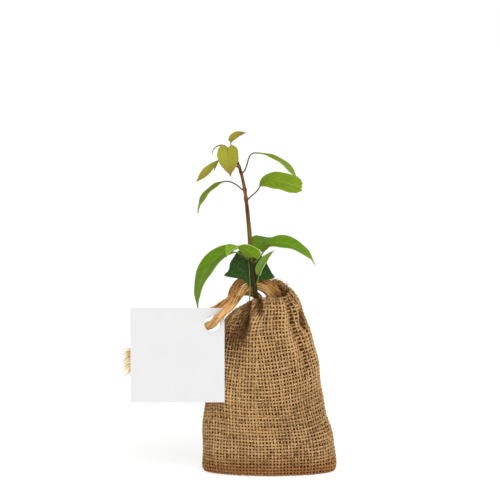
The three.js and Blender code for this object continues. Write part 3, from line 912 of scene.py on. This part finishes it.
def makeShadeBacking():
    # a dark sheet of painted shade behind the weave's gaps, between the cloth and its turned-in hem
    def place(share, up):
        row = 0.2 + up * (bag["rows"] - 0.6)
        return clothAt(share * 360, row, np.full(len(row), -bag["shadeBackingIn"]), bag["creaseDeep"])[0]

    piece = shapeGrid(bag["shadeBackingAround"], bag["shadeBackingUp"], place)
    return tidyMesh(thicken(piece, bag["shadeBackingThick"]))


def shadeBackingFinish():
    # painted shade: a dark, slightly clouded brown
    finish = Finish("innerShade", Roughness=1.0, Specular_IOR_Level=0.0)
    cloud = finish.noise(finish.place(), 300.0, 3.0)
    return finish.surface(finish.blend(cloud, jute["shadeBacking"], jute["deep"]))


base = {"halfX": 46.6, "halfY": 16.6, "warp": 2.45, "weft": 2.6, "step": 0.85, "high": 0.7,
        "swing": 0.2, "wave": 2.5, "thick": 0.8, "tone": 0.45, "uneven": (5, 0.08),
        "fade": (20, 0.12)}


def makeBase():
    # the cloth under the bag, laid flat
    dice = np.random.default_rng(23)
    runs = []
    halfX, halfY = base["halfX"], base["halfY"]
    for across, pitch, reach, other in ((True, base["weft"], halfY, halfX),
                                        (False, base["warp"], halfX, halfY)):
        number = int(2 * reach / pitch)
        for k in range(number):
            at = (k - (number - 1) / 2) * pitch
            half = other * math.sqrt(max(1 - (at / reach) ** 2, 0))
            count = max(int(2 * half / base["step"]), 6)
            t = np.linspace(-half, half, count)
            swing = base["swing"] * np.cos(math.pi * (t / base["wave"] + k))
            high = base["high"] + swing * (1 if across else -1)
            flat = np.full(count, at)
            point = np.stack([t, flat, high] if across else [flat, t, high], 1)
            face = np.tile((0, 0, -1.0), (count, 1))
            swell = 1 + wander(dice, count, *base["uneven"])
            runs += yarnRuns(point, face, bag["yarnWide"] * swell, base["thick"] * swell,
                             base["tone"] + wander(dice, count, *base["fade"]))
    return bundle("baseCloth", runs, bag["yarnSides"])


print("weaving the bag")
weave = Weave()
juteWeave = juteFinish()
dress(makeWarps(weave), "warpYarns", juteWeave, ["jute_bag"])
dress(makeWefts(weave), "weftYarns", juteWeave, ["jute_bag"])
dress(makeBase(), "baseCloth", juteWeave, ["jute_bag"])
dress(makeShadeBacking(), "clothShadeBacking", shadeBackingFinish(), ["jute_bag"])


# loose fibres standing off the jute
fuzz = {"cloth": 1700, "strand": 260, "reach": (0.9, 3.6), "thick": 0.085, "clear": 0.2,
        "points": 6, "bend": 0.35, "outward": 0.55, "sideways": 0.8, "tip": 0.4,
        "tone": (0.3, 1), "first": (0.3, 0.2, 0.9), "foot": 0.4, "shortest": 0.4,
        "rim": 1100, "rimReach": (1.6, 5.5), "rimThick": 0.2, "rimAround": (58, 34),
        "rimRows": (-1.2, 1.4), "rimUp": (0, 0, 0.12), "rimOut": 0.45, "rimFlat": 0.4,
        "rimLoose": 0.35, "rimFoot": 0.3, "rimShortest": 0.3,
        "strandFoot": 0.47, "strandOut": 0.6, "strandReach": 0.7}


def fibreAt(dice, foot, out, way, length, heavy=fuzz["thick"]):
    t = np.linspace(0, 1, fuzz["points"])
    bend = unit(dice.normal(0, 1, 3)) * length * fuzz["bend"]
    reach = (out * fuzz["outward"] + way * fuzz["sideways"]) * length
    line = foot + reach * t[:, None] + bend * t[:, None] ** 2
    line[:, 2] = np.maximum(line[:, 2], fuzz["clear"])
    thick = heavy * np.linspace(1, fuzz["tip"], fuzz["points"])
    return fibreRun(line, fuzz["first"], thick, dice.uniform(*fuzz["tone"]))


def clothFuzz():
    dice = np.random.default_rng(31)
    count = fuzz["cloth"]
    angle = dice.uniform(0, 360, count)
    row = dice.uniform(0.5, bag["rows"] + bag["hemFrom"], count)
    foot, face, _ = clothAt(angle, row, np.full(count, fuzz["foot"]), 0)
    way = unit(dice.normal(0, 1, (count, 3)))
    length = dice.uniform(*fuzz["reach"], count) * dice.uniform(fuzz["shortest"], 1, count)
    return bundle("clothFuzz", [fibreAt(dice, *rest) for rest in zip(foot, face, way, length)], 3)


def rimFuzz():
    # the teased edge of the cloth behind the strings
    dice = np.random.default_rng(35)
    count = fuzz["rim"]
    angle = dice.normal(*fuzz["rimAround"], count)
    row = bag["rows"] + dice.uniform(*fuzz["rimRows"], count)
    foot, face, _ = clothAt(angle, row, np.full(count, fuzz["rimFoot"]), 0)
    length = dice.uniform(*fuzz["rimReach"], count) * dice.uniform(fuzz["rimShortest"], 1, count)
    runs = []
    for at, out, turn, reach in zip(foot, face, np.radians(angle), length):
        rim = np.array((-math.sin(turn), math.cos(turn) * fuzz["rimFlat"], 0))
        way = unit(rim * dice.choice((-1, 1)) + dice.normal(0, fuzz["rimLoose"], 3))
        rise = out * fuzz["rimOut"] + fuzz["rimUp"]
        runs.append(fibreAt(dice, at, rise, way, reach, fuzz["rimThick"]))
    return bundle("rimFuzz", runs, 3)


def strandFuzz(name, line, seed):
    dice = np.random.default_rng(seed)
    side, up = carriedFrames(line)
    ahead = unit(np.gradient(line, axis=0))
    runs = []
    for i in dice.integers(2, len(line) - 2, fuzz["strand"]):
        turn = dice.uniform(0, 2 * math.pi)
        arm = side[i] * math.cos(turn) + up[i] * math.sin(turn)
        foot = line[i] + arm * cord["diameter"] * fuzz["strandFoot"]
        way = ahead[i] * dice.choice((-1, 1))
        reach = dice.uniform(*fuzz["reach"]) * fuzz["strandReach"]
        runs.append(fibreAt(dice, foot, arm * fuzz["strandOut"], way, reach))
    return bundle(name, runs, 3)


print("adding loose fibres")
looseJute = looseFinish("looseJute", tint(138, 94, 48), tint(222, 176, 108), 0.4, **juteSkin)
dress(clothFuzz(), "clothFuzz", looseJute)
dress(rimFuzz(), "rimFuzz", looseJute)
for seed, (strand, line, *_) in enumerate(strands, 32):
    name = strand.name + "Fuzz"
    dress(strandFuzz(name, line, seed), name, looseJute)


# soil
soil = {"top": 100.0, "inset": 4.5, "crumbs": 420, "small": 0.9, "large": 3.4, "lumpy": 0.28,
        "sunk": (-0.3, 0.5), "squash": (0.6, 1), "wet": tint(38, 27, 20), "dry": tint(84, 62, 45)}


def soilFinish():
    finish = Finish("moistSoil", Roughness=0.95)
    place = finish.place()
    grain = finish.noise(place, 420.0, 6.0, 0.7)
    clump = finish.noise(place, 90.0, 3.0)
    colour = finish.blend((grain + clump - 0.55).within(0.2, 0.8), soil["wet"], soil["dry"])
    return finish.surface(colour, None, grain + clump, 0.0012, 1.0)


def makeCrumbs():
    dice = np.random.default_rng(41)
    clearSelection()
    bpy.ops.mesh.primitive_ico_sphere_add(subdivisions=2, radius=1)
    ball = bpy.context.object
    shape = readPoints(ball)
    faces = [tuple(f.vertices) for f in ball.data.polygons]
    bpy.data.objects.remove(ball)
    points, allFaces = [], []
    for _ in range(soil["crumbs"]):
        far, turn = math.sqrt(dice.uniform()), dice.uniform(0, 360)
        edge = clothPoint(*(np.array(value) for value in (turn, soil["top"], soil["inset"])))[0]
        size = soil["small"] + (soil["large"] - soil["small"]) * dice.uniform() ** 3
        middle = edge * (far, far, 1) + (0, 0, dice.uniform(*soil["sunk"]) * size)
        bumps = np.sin(shape @ dice.normal(0, 3, (3, 3))).prod(1)
        lump = shape * (1 + soil["lumpy"] * bumps)[:, None]
        allFaces += [tuple(i + len(points) * len(shape) for i in face) for face in faces]
        points.append(middle + lump * size * dice.uniform(*soil["squash"], 3) / 2)
    return meshFrom("soilCrumbs", points, allFaces)


print("filling the bag with soil")
moistSoil = soilFinish()
nodes["root_ball"].data.materials.clear()
nodes["root_ball"].data.materials.append(moistSoil)
dress(makeCrumbs(), "soilCrumbs", moistSoil)


# stem
stem = {"low": 100.3, "high": 242, "radiusFoot": 2.3, "radiusLow": 1.7, "radiusTop": 0.75,
        "flare": 9, "sides": 28, "steps": 420, "bark": 0.42, "swell": 0.34, "swellLong": 1.5,
        "furrow": 0.07, "furrows": (5, 11), "lump": (14, 0.03), "wind": (90, 0.8),
        "split": (40, 0.5), "uneven": 0.8,
        "line": [[100.3, -6.4, 1], [130, -9.4, 0.4], [157, -12.6, 0], [186, -14.9, 0],
                 [211, -17.7, 0], [224, -20.5, 0], [234, -24, 0], [242, -28.6, 0]]}


def stemCentre(height):
    height = np.asarray(height, float)
    return np.stack([along(stem["line"], height, 1), along(stem["line"], height, 2), height], -1)


def stemRadius(height):
    up = np.clip((height - stem["low"]) / (stem["high"] - stem["low"]), 0, 1)
    flare = np.maximum(0, 1 - (height - stem["low"]) / stem["flare"]) ** 2
    taper = stem["radiusLow"] + (stem["radiusTop"] - stem["radiusLow"]) * up
    return taper + (stem["radiusFoot"] - stem["radiusLow"]) * flare


# leaves
# outlines: share along the midrib, share of the half width, how far the edge is swept back
ovate = [[0, 0.36, 0.13], [0.07, 0.7, 0.14], [0.18, 0.93, 0.11], [0.34, 1, 0.05],
         [0.55, 0.83, 0.02], [0.75, 0.46, 0], [0.89, 0.15, 0], [1, 0.025, 0]]
blunt = [[0, 0.1, 0.04], [0.08, 0.42, 0.04], [0.2, 0.74, 0.03], [0.39, 0.9, 0.02],
         [0.6, 1, 0], [0.82, 0.92, 0], [0.93, 0.72, 0], [1, 0.42, 0]]
lance = [[0, 0.1, 0.02], [0.1, 0.35, 0.02], [0.25, 0.72, 0.02], [0.45, 1, 0.01],
         [0.65, 0.95, 0], [0.8, 0.66, 0], [0.92, 0.25, 0], [1, 0.03, 0]]
late = [[0, 0.12, 0], [0.12, 0.16, 0], [0.25, 0.36, 0.01], [0.4, 0.8, 0.01],
        [0.55, 1, 0], [0.7, 0.95, 0], [0.83, 0.68, 0], [0.93, 0.27, 0], [1, 0.03, 0]]
lobed = [[0, 0.04, 0], [0.1, 0.15, 0.01], [0.2, 0.34, 0.03], [0.33, 1, 0.09],
         [0.43, 0.88, 0.06], [0.6, 0.76, 0.03], [0.83, 0.5, 0], [0.94, 0.28, 0], [1, 0.1, 0]]
blade = {"thick": 0.42, "along": 64, "across": 24, "steps": 241, "stalk": 0.65, "stalkTip": 0.14,
         "stalkSides": 10, "stalkStep": 0.55, "under": 0.24, "veins": 7, "sweep": 0.22, "bow": 1.3,
         "apart": 0.35, "quilt": 0.1, "groove": 0.3, "wave": 0.35, "swing": 0.36, "gap": 0.3,
         "veinWide": 0.11, "torn": 0.14, "tornFrom": 0.78, "tornOver": 0.2, "bitten": 2.3,
         "bittenFrom": 0.86, "bittenOver": 0.14, "stalkRadii": (0.85, 0.56, 0.48, 0.36)}


def look(skin, tip, vein, stalk, rim, midrib, **more):
    # colours of the blade, its tip, its veins and its stalk, and how far rim and midrib show
    return {"blade": tint(*skin), "tip": tint(*tip), "vein": tint(*vein), "stalk": tint(*stalk),
            "rim": rim, "midrib": midrib, "veins": 0.2, "narrow": 1, "rough": 0.5, "gloss": 0.14,
            "slot": "leaf_green", **more}


newGrowth = {"rough": 0.55, "slot": "leaf_young"}
leafLooks = {
    "bud": look((146, 142, 40), (134, 96, 50), (138, 84, 52), (118, 112, 60), 0.7, 0.3,
                **newGrowth),
    "young": look((138, 138, 34), (128, 106, 38), (176, 168, 92), (128, 116, 46), 0.25, 0.7,
                  **newGrowth),
    "olive": look((150, 148, 46), (144, 130, 46), (160, 152, 70), (110, 100, 44), 0.25, 0.5,
                  **newGrowth),
    "fresh": look((106, 132, 14), (114, 138, 20), (164, 182, 82), (92, 92, 36), 0.4, 0.6,
                  rough=0.55),
    "grown": look((90, 128, 6), (100, 136, 14), (160, 186, 92), (104, 108, 44), 0.6, 0.65),
    "bright": look((110, 148, 10), (116, 152, 16), (198, 214, 136), (112, 118, 48), 0.5, 0.7),
    "sprout": look((104, 136, 44), (110, 140, 50), (182, 200, 128), (110, 120, 56), 0.85, 0.7),
    "deep": look((34, 66, 4), (24, 54, 2), (196, 210, 176), (150, 158, 92), 0.12, 1.0,
                 veins=0.08, narrow=0.45, gloss=0.06, slot="leaf_dark")}
# each leaf: its node's height on the stem, the blade's foot and tip, the ways the midrib leaves the
# one and comes to the other, the blade's width, the way to its left half, how far it is folded,
# its look, and what only that leaf has
leafKeys = ("name", "node", "foot", "tip", "out", "back", "width", "left", "fold", "look")
leafRows = (
    ("leaf_top", 240.6, (-27.6, -0.5, 247.6), (-16.2, -4, 253), (1, -0.5, 2.8), (-5, 1, -0.1),
     5.8, (-0.5, 0.6, 0.5), 8, "bud", {}),
    ("leaf_heart", 238, (-30.1, -5, 241.8), (-27.9, -7.5, 221.6), (0.2, -2.4, -5), (-0.6, -1, 6),
     15.6, (1, 0.06, 0.06), 8, "young", {}),
    ("leaf_curl", 240, (-31.8, 1.4, 242.8), (-41.4, 1, 237.4), (-3.8, 0, 2.4), (0.2, 0, 4.6),
     2.8, (0, -1, 0.05), 12, "bud", {}),
    ("leaf_olive", 228, (-37, 2.4, 232.2), (-53, 0, 217.4), (-3.8, 0, -3), (5.4, 0, 4.2),
     9.8, (0.24, -0.84, -0.44), 8, "olive", {"outline": lance, "calm": 0.25}),
    ("leaf_mid_left", 211.4, (-33.6, 0.6, 217), (-51.9, -1, 193.8), (-8.4, 0, -2.8), (0.2, 0, 9.6),
     14.5, (0.12, -0.96, -0.17), 5, "fresh", {"outline": lance}),
    ("leaf_high_right", 224, (-10.4, 3, 238), (20.8, 6, 215), (10, 0, 0.7), (-2.1, 0, 13.2),
     15, (0.09, 0.96, 0.16), 5, "fresh", {"outline": late}),
    ("leaf_right", 204.6, (-6.2, -7, 215.2), (24.4, -11.5, 213.8), (2.9, -1.4, 7.6),
     (-12.4, -0.6, 3.6), 21.6, (0.1, 0.84, 0.5), 4, "fresh", {"outline": blunt, "ragged": 0.9}),
    ("leaf_low_left", 159.5, (-29, 4.6, 164.8), (-52.2, -2, 122.6), (-14, -1, -1.6), (-3, 0, 19),
     22.6, (0.46, -0.86, -0.12), 8, "grown", {}),
    ("leaf_front_left", 159, (-13, -8.4, 164), (-30.4, -31, 166), (-5, -8, 9), (2, 8, 11),
     18.5, (0.84, -0.54, 0.02), 10, "bright", {}),
    ("leaf_back_right", 162, (-7.6, 6, 167.4), (1.8, 32, 169.4), (3.4, 8, 6.6), (-2, -9, 6.6),
     20, (-0.9, 0.42, 0.02), 8, "grown", {}),
    ("leaf_low_right", 158, (2.6, -6, 171.6), (33.8, -10, 156.8), (8, -1, 4), (-5, 0.6, 11),
     19, (0.03, 0.93, 0.36), 12, "grown", {}),
    ("leaf_small", 141.4, (-7.2, -5.6, 151.6), (4.2, -9.6, 168.4), (0.6, -1, 6), (-4.6, 1, -4),
     7, (-0.6, 0.66, 0.44), 12, "sprout", {}),
    ("leaf_dark", 116, (-14, 2.8, 139.4), (-15.4, 10.5, 167.4), (0, 0.2, 12), (0, -4, -7),
     36.4, (-1, 0.02, 0.02), 4, "deep", {"skew": 0.1, "outline": lobed, "calm": 0.3}),
)
leaves = [dict(zip(leafKeys, row), **more) for *row, more in leafRows]


bark = {"dark": tint(62, 30, 12), "red": tint(146, 90, 38), "olive": tint(120, 96, 46),
        "foot": tint(37, 41, 14), "footTop": (0.158, 0.172), "node": tint(104, 98, 32),
        "nodeFoot": (0.160, 0.170), "nodeTop": (0.174, 0.198), "tipFoot": (0.230, 0.242),
        "lenticel": tint(178, 132, 84)}


def barkFinish():
    # reddish above, green round the lower leaves' nodes, dark green at the foot
    finish = Finish("youngBark", Roughness=0.6, Specular_IOR_Level=0.15)
    place = finish.place()
    height = finish.part(place, "Z")
    streak = finish.noise(finish.stretch(place, (900.0, 900.0, 60.0)), 1.0, 4.0, 0.6)
    patch = finish.noise(place, 130.0, 3.0)
    colour = finish.blend(streak.within(0.4, 0.72), bark["dark"], bark["red"])
    colour = finish.blend(patch.within(0.5, 0.7) * 0.35, colour, bark["olive"])
    foot = 1 - height.within(*bark["footTop"])
    colour = finish.blend(foot * 0.93, colour, bark["foot"])
    node = height.within(*bark["nodeFoot"]) * (1 - height.within(*bark["nodeTop"]))
    colour = finish.blend(node * 0.72, colour, bark["node"])
    colour = finish.blend(height.within(*bark["tipFoot"]) * 0.6, colour, bark["olive"])
    lenticel = finish.noise(finish.stretch(place, (700.0, 700.0, 1400.0)), 1.0, 2.0)
    lenticel = lenticel.within(0.66, 0.72)
    colour = finish.blend(lenticel * 0.45, colour, bark["lenticel"])
    return finish.surface(colour, None, streak + lenticel, 0.00018, 0.8)


def makeStem():
    # rings up the lean, swollen at each leaf's node, furrowed lengthwise
    dice = np.random.default_rng(51)
    height = np.linspace(stem["low"], stem["high"], stem["steps"])
    swell = sum(np.exp(-((height - leaf["node"]) / stem["swellLong"]) ** 2) for leaf in leaves)
    lump, wind, split = (wander(dice, stem["steps"], *stem[key])
                         for key in ("lump", "wind", "split"))
    # the bark is thicker over the middle of the stem
    thicker = stem["bark"] * np.sin(math.pi * np.linspace(0, 1, stem["steps"])) ** stem["uneven"]

    def radiusAt(turn, share):
        at = np.rint(share * (stem["steps"] - 1)).astype(int)
        few, many = stem["furrows"]
        furrow = np.cos(few * turn + wind[at]) * 0.6 + np.cos(many * turn + 3 * split[at]) * 0.4
        radius = stemRadius(height[at]) * (1 + lump[at] + stem["furrow"] * furrow)
        return radius + stem["swell"] * np.minimum(swell[at], 1) + thicker[at]

    level = np.tile(((1, 0, 0), (0, 1, 0)), (stem["steps"], 1, 1)).swapaxes(0, 1)
    return tidyMesh(tubeOn(stemCentre(height), radiusAt, stem["sides"], level), 50)


def bezier(points, t):
    p0, p1, p2, p3 = (np.array(p, float) for p in points)
    t = np.asarray(t, float)[:, None]
    return (1 - t) ** 3 * p0 + 3 * (1 - t) ** 2 * t * p1 + 3 * (1 - t) * t**2 * p2 + t**3 * p3


def midrib(leaf):
    foot, tip = np.array(leaf["foot"], float), np.array(leaf["tip"], float)
    t = np.linspace(0, 1, blade["steps"])
    return evenly(bezier((foot, foot + leaf["out"], tip + leaf["back"], tip), t), blade["steps"])


def stalkLine(leaf):
    # from the bark to the foot of the blade, arriving the way the midrib leaves
    foot = np.array(leaf["foot"], float)
    centre = stemCentre(leaf["node"])
    away = unit((foot - centre) * (1, 1, 0))
    edge = centre + away * (stemRadius(leaf["node"]) + blade["gap"] + blade["stalk"])
    reach = np.linalg.norm(edge - foot) * blade["swing"]
    rise = unit(away + (0, 0, 1))
    arrive = unit(np.array(leaf["out"], float))
    line = bezier((edge, edge + rise * reach, foot - arrive * reach, foot), np.linspace(0, 1, 60))
    return np.vstack((centre + away * stemRadius(leaf["node"]) * 0.5, line))


def veinPattern(share, side):
    # 1 on a side vein, 0 between: the veins leave the midrib and sweep forward
    lane = (share - blade["sweep"] * np.abs(side) ** blade["bow"]) * blade["veins"]
    lane = lane + np.where(side > 0, blade["apart"], 0.0)
    return np.exp(-((lane - np.rint(lane)) / blade["veinWide"]) ** 2)


def makeLeaf(leaf, seed):
    dice = np.random.default_rng(seed)
    outline = leaf.get("outline", ovate)
    line = midrib(leaf)
    length = lengthOf(line)
    ahead = unit(np.gradient(line, axis=0))
    left = np.array(leaf["left"], float)
    left = unit(left - ahead * (ahead @ left)[:, None])
    up = np.cross(ahead, left)
    fold = math.radians(leaf["fold"])
    phase = dice.uniform(0, 6, 4)
    ragged = leaf.get("ragged", 0)

    def place(share, t):
        side = share * 2 - 1
        at = t * (len(line) - 1)
        low = np.clip(np.floor(at).astype(int), 0, len(line) - 2)
        part = (at - low)[:, None]

        def pick(values):
            return values[low] * (1 - part) + values[low + 1] * part

        half = leaf["width"] / 2 * along(outline, t, 1)
        swept = length * along(outline, t, 2)
        reach = np.abs(side)
        edge = 1 + 0.02 * np.sin(t * 23 + phase[0] + side) * reach
        torn = np.clip((t - blade["tornFrom"]) / blade["tornOver"], 0, 1)
        teeth = np.sin(t * 60 + phase[1] + side * 2) > 0.1
        edge = edge - ragged * blade["torn"] * torn * teeth * reach**3
        lift = half * reach * math.sin(fold)
        wave = blade["wave"] * leaf.get("calm", 1) * np.minimum(half / 5, 1)
        lift = lift + wave * np.sin(t * 15 + phase[2] + side * 1.4) * reach**2
        groove = np.exp(-((side * half / 0.5) ** 2)) * np.clip(half / 4, 0, 1)
        lift = lift - blade["groove"] * groove
        bulge = blade["quilt"] * np.minimum(half / 6, 1)
        lift = lift - bulge * veinPattern(t, side) * np.clip(reach * 6, 0, 1) * (1 - reach**2)
        forward = leaf.get("skew", 0) * half * side - swept * reach
        bitten = (0.5 + 0.3 * np.sin(side * 7 + phase[3])
                  + 0.2 * np.sign(np.sin(side * 19 + phase[1])))
        atTip = np.clip((t - blade["bittenFrom"]) / blade["bittenOver"], 0, 1) ** 2
        forward = forward - ragged * blade["bitten"] * bitten * atTip
        return (pick(line) + pick(left) * (half * side * edge * math.cos(fold))[:, None]
                + pick(up) * lift[:, None] + pick(ahead) * forward[:, None])

    piece = thicken(shapeGrid(blade["across"], blade["along"], place), blade["thick"], 0)
    # the petiole runs on as a rib under the blade
    stalk = stalkLine(leaf)
    rib = np.vstack((stalk, (line - up * blade["under"])[3:-8]))
    whole = evenly(rib, max(40, int(lengthOf(rib) / blade["stalkStep"])))
    joint = lengthOf(stalk) / lengthOf(rib)

    def radiusAt(turn, share):
        thin = np.interp(share, (0, 0.03, joint, min(joint + 0.12, 0.9), 1),
                         (*blade["stalkRadii"], blade["stalkTip"]))
        return thin * min(1, 0.5 + leaf["width"] / 18)

    stalkTube = tubeOn(whole, radiusAt, blade["stalkSides"])
    for part, value in ((piece, 0.0), (stalkTube, 1.0)):
        paint = part.data.attributes.new("stalk", "FLOAT", "POINT")
        paint.data.foreach_set("value", np.full(len(part.data.vertices), value))
    return tidyMesh(joinPieces(piece, stalkTube), 70)


def leafFinish(name, looks):
    finish = Finish(name, Specular_IOR_Level=looks["gloss"])
    uv = finish.uv()
    side = (finish.part(uv, "X") - 0.5) * 2
    share = finish.part(uv, "Y")
    reach = abs(side)
    place = finish.place()
    cloud = finish.noise(place, 110.0, 4.0, 0.6)
    fine = finish.noise(place, 900.0, 3.0, 0.6)
    colour = finish.blend(share.within(0.35, 1.0), looks["blade"], looks["tip"])
    shade = tuple(c * 0.6 for c in looks["blade"][:3]) + (1,)
    colour = finish.blend((cloud - 0.4).within(0.0, 0.4) * 0.5, colour, shade)
    midribMark = 1 - reach.within(*(edge * looks["narrow"] for edge in (0.015, 0.06)))
    # the side veins lie where veinPattern lays them
    lane = (share - (reach ** blade["bow"]) * blade["sweep"]) * blade["veins"]
    lane = lane + side.within(-0.02, 0.02) * blade["apart"]
    gapTo = abs((lane + 0.5).reckon("FRACT") - 0.5)
    vein = (1 - gapTo.within(0.02, 0.09)) * (1 - reach.within(0.6, 0.98))
    net = finish.add("ShaderNodeTexVoronoi", {"feature": "DISTANCE_TO_EDGE"},
                     {"Vector": place, "Scale": 620.0}, "Distance")
    netMark = 1 - net.within(0.0, 0.12)
    edgeMark = reach.within(0.93, 1.0)
    mark = (midribMark * looks["midrib"]).reckon("MAXIMUM", vein * looks["veins"])
    mark = mark.reckon("MAXIMUM", netMark * 0.08)
    mark = mark.reckon("MAXIMUM", edgeMark * looks["rim"])
    colour = finish.blend(mark, colour, looks["vein"])
    colour = finish.blend(finish.mark("stalk"), colour, looks["stalk"])
    bump = vein * -0.5 + netMark * -0.25 + fine * 0.3 - midribMark * 0.6
    rough = looks["rough"] + (fine - 0.5) * 0.25
    return finish.surface(colour, rough, bump, 0.00022, 0.6)


print("growing the stem and leaves")
dress(makeStem(), "stemBark", barkFinish(), ["stem"])
leafSkins = {key: leafFinish("leafSkin%d" % number, looks)
             for number, (key, looks) in enumerate(leafLooks.items())}
for seed, leaf in enumerate(leaves, 60):
    first, *rest = leaf["name"].split("_")
    name = first + "".join(word.capitalize() for word in rest) + "Blade"
    key = leaf["look"]
    dress(makeLeaf(leaf, seed), name, leafSkins[key], [leaf["name"]])


# the withered stipule that hangs by the olive leaf's foot
stipule = {"line": [[-37.3, 2.2, 231.9], [-38.2, 1.9, 229.6], [-39.4, 1.6, 227.2],
                    [-39.7, 1.5, 225.2]],
           "steps": 16, "sides": 8, "radii": ((0, 0.6, 1), (0.4, 0.5, 0.25))}


def stipuleRadius(turn, share):
    return np.interp(share, *stipule["radii"])


stipuleLine = routeThrough(stipule["line"], stipule["steps"])
dress(tidyMesh(tubeOn(stipuleLine, stipuleRadius, stipule["sides"])), "stipuleStub",
      barkFinish())


# card
def paperFinish():
    finish = Finish("cardPaper", Roughness=0.75)
    place = finish.place()
    fibre = finish.noise(place, 700.0, 5.0, 0.65)
    cloud = finish.noise(place, 60.0, 3.0)
    mix = (fibre * 0.5 + cloud * 0.5).within(0.3, 0.7)
    colour = finish.blend(mix, tint(200, 200, 200), tint(203, 203, 203))
    return finish.surface(colour, None, fibre, 0.00005, 0.5)


card.data.materials.clear()
card.data.materials.append(paperFinish())
print("card finished")


# floor
def floorFinish():
    # it glows a little, so that shadows on it stay pale
    finish = Finish("studioFloor", Roughness=0.9, Specular_IOR_Level=0.2,
                    Emission_Color=(1, 1, 1, 1), Emission_Strength=studio["floorGlow"])
    cloud = finish.noise(finish.place(), 3.0, 2.0)
    bright = studio["floorTint"]
    duller = (level - studio["floorCloud"] for level in bright)
    return finish.surface(finish.blend(cloud, tint(*bright), tint(*duller)))


clearSelection()
bpy.ops.mesh.primitive_plane_add(size=studio["floorSize"] * mm, location=(0, 0, 0))
floor = bpy.context.object
floor.name = "studioFloor"
floor.data.materials.append(floorFinish())

print("scene ready")
